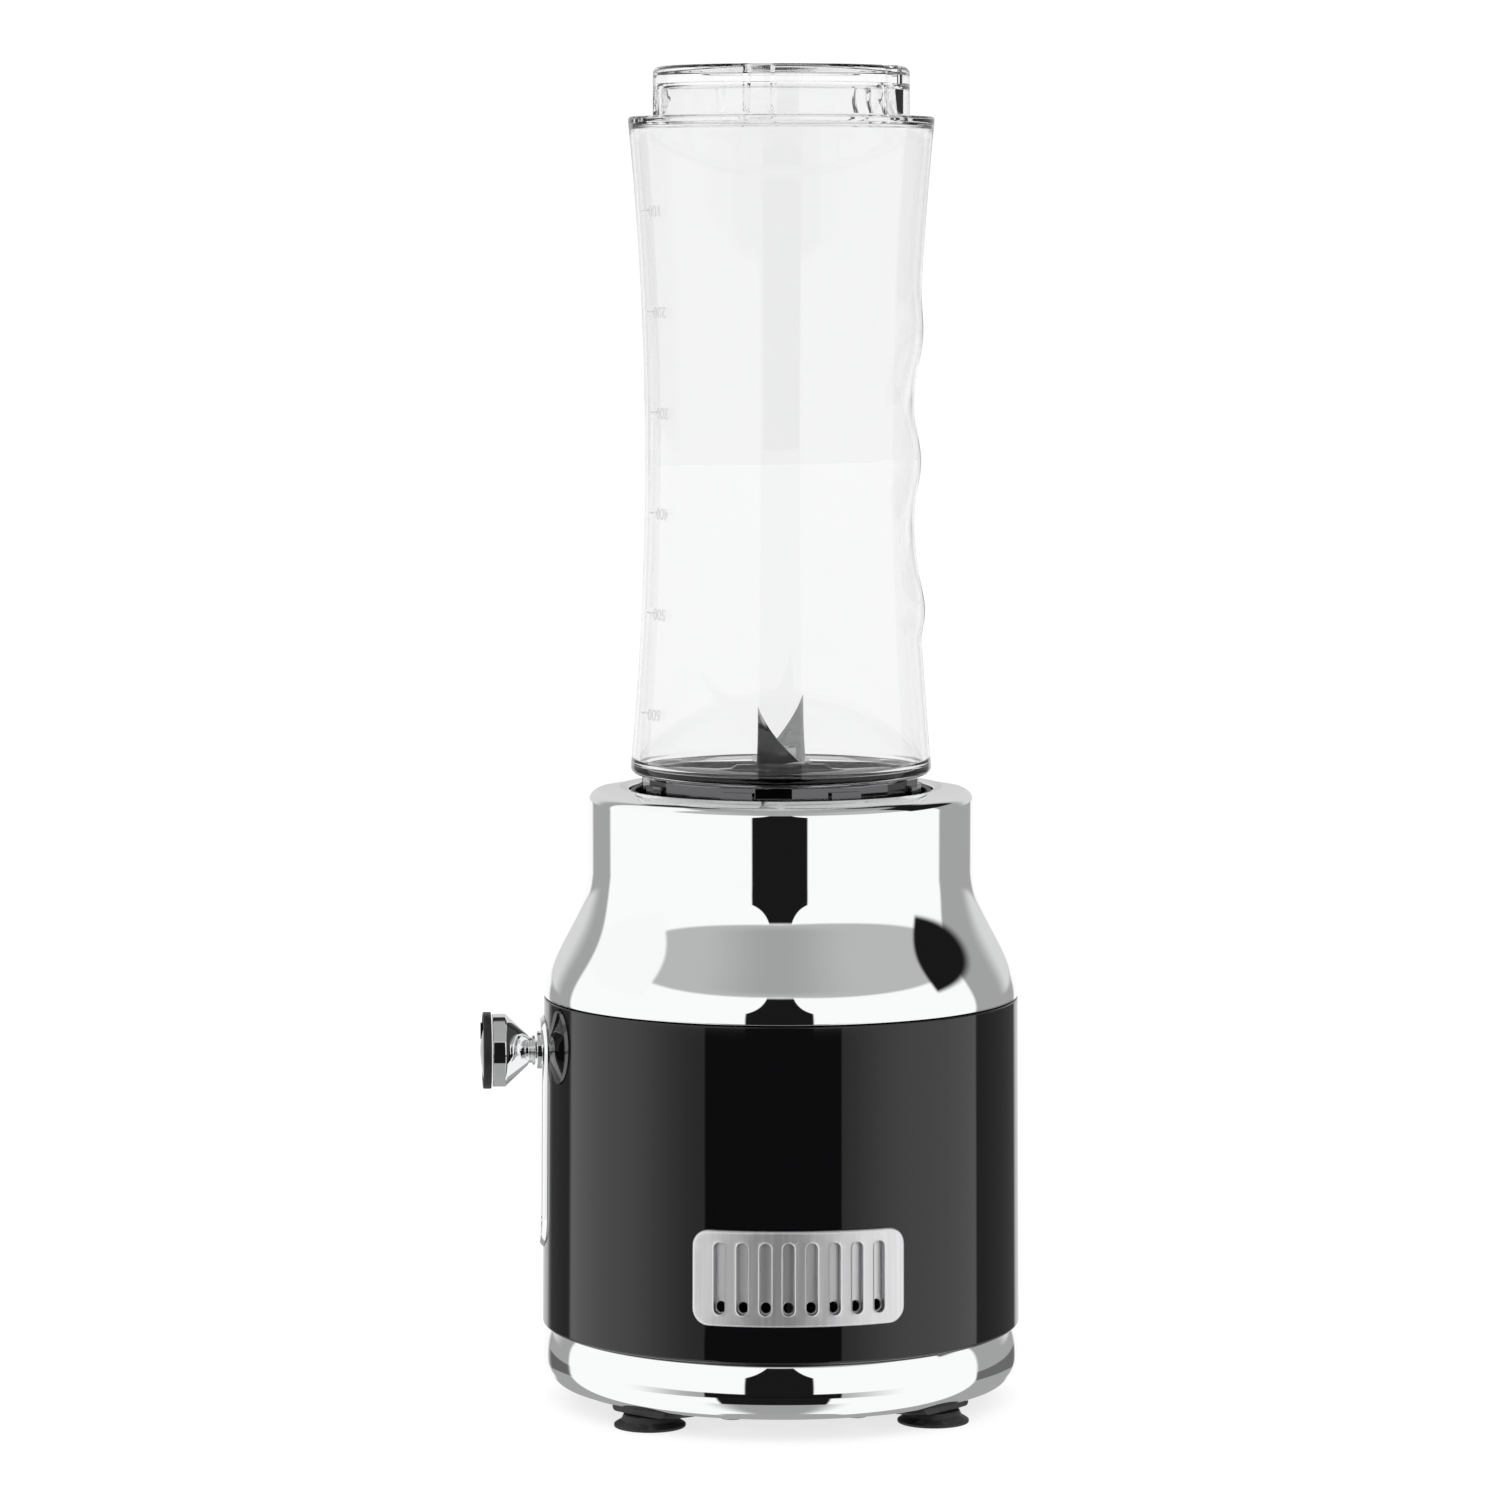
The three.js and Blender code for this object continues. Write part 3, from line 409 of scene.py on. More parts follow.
def sheet_metal(name, outline, outline_edge, holes, hole_edge, place):
    """A sheet with shaped edges. outline(inset) and each hole(inset) give a loop moved into the metal by
    inset; an edge is a list of (inset, height) from the front face round to the back face."""
    points, faces = [], []

    def cover(inset, hole_inset, height):
        flat, triangles = flat_triangles(outline(inset), [h(hole_inset) for h in holes], SHEET_POINTS)
        base = len(points)
        points.extend((x, y, height) for x, y in flat)
        faces.extend(tuple(base + i for i in t) for t in triangles)

    def strip(loop, edge):
        base = len(points)
        rows = [loop(inset) for inset, _ in edge]
        for row, (_, height) in zip(rows, edge):
            points.extend((x, y, height) for x, y in row)
        count = len(rows[0])
        faces.extend(tuple(base + i for i in f) for f in grid_faces(len(rows), count, rows_close=False))

    for end in (0, -1):
        inset, height = outline_edge[end]
        cover(inset, hole_edge[end][0], height)
    strip(outline, outline_edge)
    for hole in holes:
        strip(hole, hole_edge)
    return mesh_object(name, points, faces, place, sharp=40)


# ---------------------------------------------------------------- node helpers


def add_node(tree, kind, inputs=None, **settings):
    """Adds a node. A socket given as an input is linked, and anything else becomes its value."""
    node = tree.nodes.new(kind)
    for key, value in settings.items():
        setattr(node, key, value)
    for key, value in (inputs or {}).items():
        if isinstance(value, bpy.types.NodeSocket):
            tree.links.new(value, node.inputs[key])
        else:
            node.inputs[key].default_value = value
    return node


def calc(tree, operation, *values):
    """Output of a Math node."""
    node = add_node(tree, "ShaderNodeMath", dict(enumerate(values)), operation=operation)
    return node.outputs[0]


def remap(tree, value, from_low, from_high, to_low=0.0, to_high=1.0, smooth=False):
    """Output of a Map Range node."""
    node = add_node(
        tree, "ShaderNodeMapRange", {0: value, 1: from_low, 2: from_high, 3: to_low, 4: to_high},
        interpolation_type="SMOOTHSTEP" if smooth else "LINEAR",
    )
    return node.outputs[0]


def blend_colors(tree, factor, first, second):
    """Output of a colour Mix node."""
    return add_node(tree, "ShaderNodeMix", {0: factor, 6: first, 7: second}, data_type="RGBA").outputs[2]


def object_point(tree):
    """Place on the object, in metres."""
    return add_node(tree, "ShaderNodeTexCoord").outputs["Object"]


def noise(tree, where, scale, detail):
    node = add_node(tree, "ShaderNodeTexNoise", {"Vector": where, "Scale": scale, "Detail": detail})
    return node.outputs[0]


def new_group(name, inputs, outputs):
    """An empty node group. inputs is {name: default} and outputs is {name: socket type}."""
    tree = bpy.data.node_groups.new(name, "ShaderNodeTree")
    for label, default in inputs.items():
        kind = "NodeSocketFloat" if isinstance(default, (int, float)) else "NodeSocketColor"
        socket = tree.interface.new_socket(name=label, in_out="INPUT", socket_type=kind)
        socket.default_value = default
    for label, kind in outputs.items():
        tree.interface.new_socket(name=label, in_out="OUTPUT", socket_type=kind)
    return tree, tree.nodes.new("NodeGroupInput").outputs, tree.nodes.new("NodeGroupOutput").inputs


def place_group(tree, group, **values):
    """Puts a group into a material. Underscores in the names stand for spaces."""
    node = tree.nodes.new("ShaderNodeGroup")
    node.node_tree = group
    for key, value in values.items():
        node.inputs[key.replace("_", " ")].default_value = value
    return node.outputs


def rgb(red, green=None, blue=None):
    return (red, red if green is None else green, red if blue is None else blue, 1.0)


# ---------------------------------------------------------------- effects shared by the finishes


def handling_group():
    """Faint wiping marks: a roughness between Clean and Wiped, in soft patches with fine streaks."""
    tree, given, out = new_group(
        "handling_marks",
        {"Clean": 0.03, "Wiped": 0.06, "Patch scale": 22.0},
        {"Roughness": "NodeSocketFloat"},
    )
    where = object_point(tree)
    patches = noise(tree, where, given["Patch scale"], 3.0)
    stretched = add_node(tree, "ShaderNodeMapping", {"Vector": where, "Scale": (90.0, 90.0, 900.0)})
    soft = remap(tree, patches, 0.42, 0.72, smooth=True)
    fine = remap(tree, noise(tree, stretched.outputs[0], 1.0, 4.0), 0.4, 0.8)
    mask = calc(tree, "MULTIPLY", soft, calc(tree, "MULTIPLY_ADD", fine, 0.6, 0.4))
    tree.links.new(remap(tree, mask, 0.0, 1.0, given["Clean"], given["Wiped"]), out["Roughness"])
    return tree


def ripple_group():
    """Slow unevenness of a plated or lacquered moulding, with a fine peel on top."""
    tree, given, out = new_group(
        "coating_ripple", {"Wave scale": 30.0, "Wave": 1.0, "Peel scale": 700.0, "Peel": 0.05},
        {"Height": "NodeSocketFloat"},
    )
    where = object_point(tree)
    wave = calc(tree, "MULTIPLY", noise(tree, where, given["Wave scale"], 1.0), given["Wave"])
    peel = noise(tree, where, given["Peel scale"], 2.0)
    tree.links.new(calc(tree, "MULTIPLY_ADD", peel, given["Peel"], wave), out["Height"])
    return tree


def grain_group():
    """Brushed grain drawn out along Z."""
    tree, given, out = new_group(
        "brushed_grain", {"Fineness": 900.0, "Drawn out": 40.0, "Smooth": 0.2, "Rough": 0.35},
        {"Height": "NodeSocketFloat", "Roughness": "NodeSocketFloat", "Shade": "NodeSocketFloat"},
    )
    where = object_point(tree)
    parts = add_node(tree, "ShaderNodeSeparateXYZ", {0: where}).outputs
    slow = calc(tree, "DIVIDE", parts[2], given["Drawn out"])
    drawn = add_node(tree, "ShaderNodeCombineXYZ", {0: parts[0], 1: parts[1], 2: slow})
    lines = noise(tree, drawn.outputs[0], given["Fineness"], 3.0)
    tree.links.new(lines, out["Height"])
    tree.links.new(remap(tree, lines, 0.3, 0.7, given["Smooth"], given["Rough"]), out["Roughness"])
    tree.links.new(remap(tree, lines, 0.3, 0.7), out["Shade"])
    return tree


def texture_group():
    """Spark-eroded moulding texture: fine pits and a cloudier roughness."""
    tree, given, out = new_group(
        "moulded_texture", {"Pit scale": 1500.0, "Smooth": 0.4, "Rough": 0.55},
        {"Height": "NodeSocketFloat", "Roughness": "NodeSocketFloat"},
    )
    where = object_point(tree)
    pits = add_node(tree, "ShaderNodeTexVoronoi", {"Vector": where, "Scale": given["Pit scale"]})
    cloud = noise(tree, where, 60.0, 4.0)
    tree.links.new(pits.outputs["Distance"], out["Height"])
    tree.links.new(remap(tree, cloud, 0.3, 0.7, given["Smooth"], given["Rough"]), out["Roughness"])
    return tree


def wear_group():
    """Mask of the outer edges, broken up by noise."""
    tree, given, out = new_group("edge_wear", {"Amount": 0.5}, {"Mask": "NodeSocketFloat"})
    shape = add_node(tree, "ShaderNodeNewGeometry")
    where = object_point(tree)
    edges = remap(tree, shape.outputs["Pointiness"], 0.52, 0.62)
    mask = calc(tree, "MULTIPLY", edges, remap(tree, noise(tree, where, 180.0, 5.0), 0.4, 0.65))
    tree.links.new(calc(tree, "MULTIPLY", mask, given["Amount"]), out["Mask"])
    return tree


def dust_group():
    """Light dust on faces that look up."""
    tree, given, out = new_group("settled_dust", {"Amount": 0.1}, {"Mask": "NodeSocketFloat"})
    shape = add_node(tree, "ShaderNodeNewGeometry")
    where = object_point(tree)
    normal = add_node(tree, "ShaderNodeSeparateXYZ", {0: shape.outputs["Normal"]}).outputs
    up = remap(tree, normal[2], 0.3, 1.0)
    mask = calc(tree, "MULTIPLY", up, remap(tree, noise(tree, where, 420.0, 6.0), 0.5, 0.7))
    tree.links.new(calc(tree, "MULTIPLY", mask, given["Amount"]), out["Mask"])
    return tree


def bands_group():
    """Fine parallel bands across Z: stacked sheets, or turns of wire."""
    tree, given, out = new_group(
        "stacked_bands", {"Bands": 2000.0, "Distortion": 0.0},
        {"Height": "NodeSocketFloat", "Shade": "NodeSocketFloat"},
    )
    where = object_point(tree)
    wave = add_node(
        tree, "ShaderNodeTexWave",
        {"Vector": where, "Scale": given["Bands"], "Distortion": given["Distortion"]}, wave_type="BANDS",
        bands_direction="Z",
    )
    tree.links.new(wave.outputs["Fac"], out["Height"])
    tree.links.new(remap(tree, wave.outputs["Fac"], 0.0, 1.0, 0.55, 1.0), out["Shade"])
    return tree


HANDLING = handling_group()
RIPPLE = ripple_group()
GRAIN = grain_group()
TEXTURE = texture_group()
WEAR = wear_group()
DUST = dust_group()
BANDS = bands_group()


# ---------------------------------------------------------------- finishes


def new_material(name, **constants):
    """A material with a Principled shader whose constant values stand on its own sockets."""
    material = bpy.data.materials.new(name)
    material.use_nodes = True
    tree = material.node_tree
    shader = tree.nodes["Principled BSDF"]
    for key, value in constants.items():
        shader.inputs[key.replace("_", " ")].default_value = value
    return material, tree, shader


def cover_surface(tree, shader, color, roughness, height, depth):
    """Links a finish's colour, roughness (if it varies) and height, with the depth of its relief."""
    tree.links.new(color, shader.inputs["Base Color"])
    if roughness:
        tree.links.new(roughness, shader.inputs["Roughness"])
    bump = add_node(tree, "ShaderNodeBump", {"Height": height, "Strength": 1.0, "Distance": depth * MM})
    tree.links.new(bump.outputs[0], shader.inputs["Normal"])


def chrome(name, tint, clean, wiped, wave):
    """Mirror plating over a moulding."""
    material, tree, shader = new_material(name, Metallic=1.0)
    marks = place_group(tree, HANDLING, Clean=clean, Wiped=wiped)
    ripple = place_group(tree, RIPPLE, Wave_scale=38.0, Wave=1.0, Peel_scale=900.0, Peel=0.004)
    dust = place_group(tree, DUST, Amount=0.03)
    color = blend_colors(tree, dust["Mask"], rgb(*tint), rgb(0.6))
    cover_surface(tree, shader, color, marks["Roughness"], ripple["Height"], wave)
    return material


def lacquer():
    """High-gloss black lacquer."""
    material, tree, shader = new_material("black_lacquer", IOR=1.56)
    marks = place_group(tree, HANDLING, Clean=0.02, Wiped=0.05, Patch_scale=14.0)
    ripple = place_group(tree, RIPPLE, Wave_scale=24.0, Wave=1.0, Peel_scale=800.0, Peel=0.004)
    dust = place_group(tree, DUST, Amount=0.05)
    color = blend_colors(tree, dust["Mask"], rgb(0.0035, 0.0035, 0.004), rgb(0.1))
    cover_surface(tree, shader, color, marks["Roughness"], ripple["Height"], 0.012)
    return material


def brushed(name, color, smooth, rough, fineness=900.0, drawn=40.0, bump=0.004):
    """Metal with a drawn grain, a little darker in its lines and worn bright along its edges."""
    material, tree, shader = new_material(name, Metallic=1.0)
    grain = place_group(tree, GRAIN, Fineness=fineness, Drawn_out=drawn, Smooth=smooth, Rough=rough)
    wear = place_group(tree, WEAR, Amount=0.4)
    dark = rgb(*(c * 0.88 for c in color))
    bright = rgb(*(min(1.0, c * 1.15) for c in color))
    lined = blend_colors(tree, grain["Shade"], dark, rgb(*color))
    worn = blend_colors(tree, wear["Mask"], lined, bright)
    cover_surface(tree, shader, worn, grain["Roughness"], grain["Height"], bump)
    return material


def moulded(name, color, smooth, rough, pits=1500.0, bump=0.01, dust=0.06, wear=0.25):
    """Textured plastic or rubber."""
    material, tree, shader = new_material(name)
    texture = place_group(tree, TEXTURE, Pit_scale=pits, Smooth=smooth, Rough=rough)
    edges = place_group(tree, WEAR, Amount=wear)
    specks = place_group(tree, DUST, Amount=dust)
    pale = rgb(*(min(1.0, c * 1.6 + 0.02) for c in color))
    worn = blend_colors(tree, edges["Mask"], rgb(*color), pale)
    dusty = blend_colors(tree, specks["Mask"], worn, rgb(0.35))
    cover_surface(tree, shader, dusty, texture["Roughness"], texture["Height"], bump)
    return material


def clear_plastic(name, clean, wiped, tint):
    """Clear moulded bottle plastic."""
    material, tree, shader = new_material(name, IOR=1.45, Transmission_Weight=1.0)
    marks = place_group(tree, HANDLING, Clean=clean, Wiped=wiped, Patch_scale=16.0)
    ripple = place_group(tree, RIPPLE, Wave_scale=45.0, Wave=1.0, Peel_scale=500.0, Peel=0.0)
    specks = place_group(tree, DUST, Amount=0.02)
    color = blend_colors(tree, specks["Mask"], rgb(*tint), rgb(0.9))
    cover_surface(tree, shader, color, marks["Roughness"], ripple["Height"], 0.03)
    return material


def banded(name, color, bands, distortion, smooth, rough, metallic, bump):
    """Stacked sheets or wound wire."""
    material, tree, shader = new_material(name, Metallic=metallic)
    lines = place_group(tree, BANDS, Bands=bands, Distortion=distortion)
    texture = place_group(tree, TEXTURE, Pit_scale=700.0, Smooth=smooth, Rough=rough)
    dark = rgb(*(c * 0.35 for c in color))
    striped = blend_colors(tree, lines["Shade"], dark, rgb(*color))
    cover_surface(tree, shader, striped, texture["Roughness"], lines["Height"], bump)
    return material


def circuit_laminate():
    """Green solder mask over copper tracks, with rows of tinned pads."""
    material, tree, shader = new_material("circuit_laminate", Roughness=0.35)
    where = object_point(tree)
    turned_flat = add_node(tree, "ShaderNodeMapping", {"Vector": where, "Rotation": (math.pi / 2, 0, 0)})
    tracks = add_node(
        tree, "ShaderNodeTexBrick", {"Vector": turned_flat.outputs[0], "Scale": 220.0, "Mortar Size": 0.06},
    )
    specks = place_group(tree, DUST, Amount=0.1)
    mask = blend_colors(tree, tracks.outputs["Fac"], rgb(0.012, 0.09, 0.035), rgb(0.02, 0.16, 0.06))
    dusty = blend_colors(tree, specks["Mask"], mask, rgb(0.4))
    cover_surface(tree, shader, dusty, None, tracks.outputs["Fac"], 0.05)
    return material


FINISHES = {
    "chrome": chrome("mirror_chrome", (0.93, 0.935, 0.94), 0.018, 0.035, 0.02),
    "black_gloss": lacquer(),
    "satin_chrome": brushed("satin_chrome", (0.86, 0.86, 0.87), 0.4, 0.44, bump=0.0003),
    "black_plastic": moulded("black_plastic", (0.012, 0.012, 0.013), 0.35, 0.5),
    "foot_rubber": moulded("foot_rubber", (0.012, 0.012, 0.012), 0.38, 0.6, pits=900.0, dust=0.12),
    "clear_plastic": clear_plastic("clear_plastic", 0.0, 0.012, (0.92, 0.922, 0.922)),
    "blade_steel": brushed("blade_steel", (0.5, 0.505, 0.51), 0.06, 0.14, fineness=1400.0, bump=0.001),
    "steel": brushed("turned_steel", (0.56, 0.57, 0.59), 0.2, 0.32, drawn=1.0),
    "silicone": moulded("silicone", (0.75, 0.76, 0.76), 0.35, 0.5, pits=600.0, wear=0.05),
    "brass": brushed("sintered_bronze", (0.62, 0.43, 0.2), 0.3, 0.45, drawn=1.0),
    "lamination": banded("stacked_laminations", (0.3, 0.31, 0.33), 380.0, 0.0, 0.3, 0.45, 0.9, 0.08),
    "copper": banded("enamelled_copper", (0.5, 0.16, 0.05), 260.0, 1.2, 0.2, 0.3, 0.85, 0.18),
    "aluminium": brushed(
        "cast_aluminium", (0.6, 0.61, 0.62), 0.38, 0.55, fineness=500.0, drawn=1.0, bump=0.02
    ),
    "nylon": moulded("natural_nylon", (0.74, 0.72, 0.64), 0.4, 0.55, wear=0.1),
    "carbon": moulded("pressed_carbon", (0.02, 0.02, 0.021), 0.5, 0.7, pits=2200.0),
    "board": circuit_laminate(),
    "capacitor_case": moulded("dipped_resin", (0.6, 0.36, 0.02), 0.2, 0.35, pits=300.0, bump=0.004),
}


def piece(obj, body, slot, *nodes, finish=None):
    """Gives a piece its finish, its body and the frame nodes that it stands for. Its flat faces stay flat
    up to their round edges."""
    normals = obj.modifiers.new("flat faces", "WEIGHTED_NORMAL")
    normals.keep_sharp = True
    obj.data.materials.clear()
    obj.data.materials.append(finish or FINISHES[slot])
    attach(obj, body)
    if nodes:
        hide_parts(*nodes)
    return obj


# ---------------------------------------------------------------- casing


def shoulder(offset, count):
    """The housing's S-curve from the sleeve's radius up to the collar's."""
    foot_r = SLEEVE_TOP_R - 0.1
    points = []
    for t in spread(0, 1, count):
        blend = (1 + math.cos(math.pi * t**0.93)) / 2
        radius = COLLAR_R + (foot_r - COLLAR_R) * blend - offset
        points.append((radius, HOUSING_LOW + t * (COLLAR_Z - HOUSING_LOW)))
    return points


def upper_housing():
    outside = shoulder(0, 64)
    inside_wall = shoulder(WALL, 24)
    first_r, first_z = outside[0]
    profile = filleted([
        (first_r - WALL, first_z), (first_r, first_z, 0.35), *outside[1:], (COLLAR_R, LIP_Z - 1.35, 3.0),
        (OPENING_R + 2.4, LIP_Z, 2.0), (OPENING_R, LIP_Z - 0.5, 0.5), (OPENING_R, LIP_Z - 3.4),
        (COLLAR_R - WALL, LIP_Z - 4.6), *reversed(inside_wall[1:]),
    ])
    return piece(turned("housing_shell", profile, FINE), "base", "chrome", "upper_housing")


def body_sleeve():
    """Black sleeve with a window behind each grille and holes for the switch and the cord gland. Extra
    rings of points above and below the holes keep the long faces regular."""
    inner = SLEEVE_R - WALL
    rings = [GRILLE_LOW + 1, GLAND_Z - 8, GLAND_Z + 8, GRILLE_HIGH - 1, KNOB_Z - 8, KNOB_Z + 8]
    low, high = SLEEVE_LOW, SLEEVE_HIGH
    profile = filleted([
        (inner, low), (sleeve_radius(low), low, 0.8), *((sleeve_radius(z), z) for z in sorted(rings)),
        (sleeve_radius(high), high, 0.4), (inner, high), *((inner, z) for z in sorted(rings, reverse=True)),
    ])
    sleeve = turned("sleeve", profile, FINE)
    half_arc = (SLOT_PITCH * (SLOT_COUNT - 1)) / 2 + SLOT_HALF[0] + 1.6
    middle = (GRILLE_LOW + GRILLE_HIGH) / 2
    window = rounded_rectangle(half_arc, SLOT_HALF[1] + 1.6, 1)
    tools = [raised(f"window_{angle}", window, 55, 70, out_of_side(angle, middle)) for angle in (0, 180)]
    tools.append(rod("switch_hole", 5, 50, 70, out_of_front))
    tools.append(rod("gland_hole", 5.2, 50, 70, out_of_rear))
    combine(sleeve, "DIFFERENCE", *tools)
    return piece(sleeve, "base", "black_gloss", "body_shell")


def out_of_side(angle, middle):
    """Stands a flat outline on edge, facing outwards at a polar angle."""

    def place(x, y, z):
        ((away, across),) = rotated([(z, x)], angle)
        return away, AXIS_Y + across, middle + y

    return place


def ring_radius(z):
    """Bumper ring: fuller below its middle, drawn in at the floor."""
    middle = 11.8
    rise = 11.3 if z > middle else 6.5
    return 57.9 + 5 * math.sqrt(max(0.0, 1 - ((z - middle) / rise) ** 2))


def base_ring():
    top = SLEEVE_LOW - 2 * SEAM
    spigot = SLEEVE_R - WALL - 0.3
    outside = [(ring_radius(z), z) for z in spread(RING_LOW, top, 56)]
    profile = filleted([
        (57.6, RING_LOW, 0.2), *outside[1:-1], (*outside[-1], 0.35), (spigot, top),
        (spigot, SPIGOT_TOP, 0.3), (spigot - 2, SPIGOT_TOP, 0.3), (spigot - 2, 12.4), (56.5, 11),
        (56.5, COVER_TOP + 0.3), (57.6, COVER_TOP + 0.3),
    ])
    return piece(turned("bumper_ring", profile, FINE), "base", "chrome", "base_ring")


def bottom_cover():
    """Floor of the base: moulded plate with a stiffening ring, foot pads, vents and screw wells."""
    under = RING_LOW - 0.3
    plate = turned(
        "floor_plate",
        filleted([
            (0, under), (18, under), (18.6, under + 0.6, 0.3), (34, under + 0.6, 0.3), (34.6, under),
            (57.3, under, 0.4), (57.3, COVER_TOP, 0.3), (0, COVER_TOP),
        ], closed=False),
        FINE,
    )
    pads = []
    for i, angle in enumerate(FOOT_ANGLES):
        profile = filleted(
            [(0, PAD_LOW), (PAD_R - 0.2, PAD_LOW, 0.7), (PAD_R, under + 0.6), (0, under + 0.6)],
            closed=False,
        )
        pads.append(turned(f"pad_{i}", profile, MEDIUM, centre=polar(PAD_CIRCLE, angle)))
    trim = turned(
        "trim", [(57.3, PAD_LOW - 1), (75, PAD_LOW - 1), (75, COVER_TOP + 1), (57.3, COVER_TOP + 1)], FINE
    )
    combine(plate, "UNION", *pads)
    cuts = [trim, *rods(3.1, 0, 12, FOOT_CIRCLE, FOOT_ANGLES), *rods(2.2, 0, 12, TIE_CIRCLE, TIE_ANGLES)]
    for i in range(8):
        for offset in (-9.5, 0, 9.5):
            slot = rotated(moved(pill(6.4, 0.9), 27, 0), 45 * i + offset)
            cuts.append(raised(f"vent_{i}_{offset}", slot, 3, 10))
    combine(plate, "DIFFERENCE", *cuts)
    plate.name = "floor_cover"
    return piece(plate, "base", "black_plastic", "bottom_cover")


def foot(index, angle):
    """Rubber suction cup with a necked stem and a button head inside the base."""
    profile = filleted([
        (0, 2.1), (4.5, 1.75, 2.0), (7.6, 0.05, 0.4), (9.3, 0, 0.25), (9.3, 0.7, 0.3), (7.4, 1.9, 0.8),
        (6.8, PAD_LOW - 0.3, 0.25), (2.8, PAD_LOW - 0.3, 0.3), (2.8, COVER_TOP + 0.3, 0.2),
        (3.8, COVER_TOP + 0.3, 0.2), (3.2, COVER_TOP + 2.4, 0.6), (0, COVER_TOP + 2.4),
    ], closed=False)
    cup = turned(f"suction_foot_{index}", profile, MEDIUM, centre=polar(FOOT_CIRCLE, angle))
    return piece(cup, "base", "foot_rubber", f"foot_{index}")


def tie_screw(index, angle):
    """Long pan-head screw with a cross recess."""
    node = f"tie_screw_{index}"
    low, high = heights(node)
    profile = filleted(
        [(0, low), (3.2, low, 1.2), (3.8, 5, 0.2), (1.9, 5), (1.9, high, 0.3), (0, high)], closed=False
    )
    centre = polar(TIE_CIRCLE, angle)
    screw = turned(f"long_screw_{index}", profile, SMALL, centre=centre)
    tools = []
    for turn in (0, 90):
        bar = moved(rotated(rounded_rectangle(2.3, 0.5, 0.2, 2), turn), *centre)
        tools.append(raised(f"recess_{turn}", bar, low - 1, low + 1.1))
    combine(screw, "DIFFERENCE", *tools)
    return piece(screw, "base", "steel", node)


# ---------------------------------------------------------------- grilles and control plate


def grille(side, angle):
    """Curved satin plate with drawn slots, over a liner that closes them behind except at their foot."""
    middle = (GRILLE_LOW + GRILLE_HIGH) / 2
    half_height = (GRILLE_HIGH - GRILLE_LOW) / 2
    rows = [SLOT_PITCH * (i - (SLOT_COUNT - 1) / 2) for i in range(SLOT_COUNT)]

    def outline(inset):
        half_arc, corner = GRILLE_ARC / 2 - inset, GRILLE_CORNER - inset
        return moved(rounded_rectangle(half_arc, half_height - inset, corner, along=30), 0, middle)

    def slot_at(x):
        return lambda inset: moved(pill(SLOT_HALF[0] + inset, SLOT_HALF[1] + inset), x, middle)

    plate_edge = [(0.9, 1.02), (0.55, 0.98), (0.28, 0.86), (0.1, 0.68), (0.0, 0.45), (0.0, 0.3)]
    slot_edge = [
        (0.46, 1.02), (0.38, 1.04), (0.26, 1.12), (0.14, 1.12), (0.04, 1.02), (0.0, 0.8),
        (0.0, LINER_FACE + 0.15), (0.4, LINER_FACE + 0.15), (0.4, 0.3),
    ]
    plate = sheet_metal(
        f"vent_plate_{side}", outline, plate_edge, [slot_at(x) for x in rows], slot_edge, on_sleeve(angle)
    )
    piece(plate, "base", "satin_chrome", f"grille_{side}")

    liner_half = (SLOT_PITCH * (SLOT_COUNT - 1) / 2 + SLOT_HALF[0] + 1.2, SLOT_HALF[1] + 1.2)
    vent = (SLOT_HALF[0] - 0.1, 1.4)

    def liner_outline(inset):
        loop = rounded_rectangle(liner_half[0] - inset, liner_half[1] - inset, 1.0, along=24)
        return moved(loop, 0, middle)

    def vent_at(x):
        drop = middle - SLOT_HALF[1] + vent[1] + 0.2
        return lambda inset: moved(pill(vent[0] + inset, vent[1] + inset), x, drop)

    liner = sheet_metal(
        f"vent_liner_{side}", liner_outline, [(0.0, LINER_FACE), (0.0, LINER_BACK)],
        [vent_at(x) for x in rows],
        [(0.25, LINER_FACE), (0.08, LINER_FACE - 0.1), (0.0, LINER_FACE - 0.3), (0.0, LINER_BACK)],
        on_sleeve(angle),
    )
    piece(liner, "base", "satin_chrome")


def control_plate():
    """Long pill of plated metal under the knob, with a sunk line inside its edge, and the switch's nut."""
    top_half = (PLATE_HIGH - PLATE_LOW) / 2
    middle = (PLATE_HIGH + PLATE_LOW) / 2

    def outline(inset):
        return moved(pill(PLATE_HALF - inset, top_half - inset, 48), 0, middle)

    def shaft_hole(inset):
        return arc(0, KNOB_Z, 5.0 + inset, 0, 360 - 7.5, 47)

    edge = [(2.6, 1.0), (2.4, 0.86), (2.1, 0.86), (1.9, 1.0)]
    edge += [(1.5, 1.13), (1.1, 1.08), (0.55, 0.6), (0, 0.05)]
    hole_edge = [(0.3, 1.0), (0.1, 0.92), (0.0, 0.7), (0.0, 0.3)]
    plate = sheet_metal("dial_plate", outline, edge, [shaft_hole], hole_edge, on_sleeve(270))
    piece(plate, "base", "chrome", "control_plate")
    nut = filleted([(2.6, 62.4), (4.95, 62.4), (4.95, 64.45, 0.25), (2.6, 64.45, 0.1)])
    piece(turned("switch_nut", nut, SMALL, out_of_front), "base", "chrome")


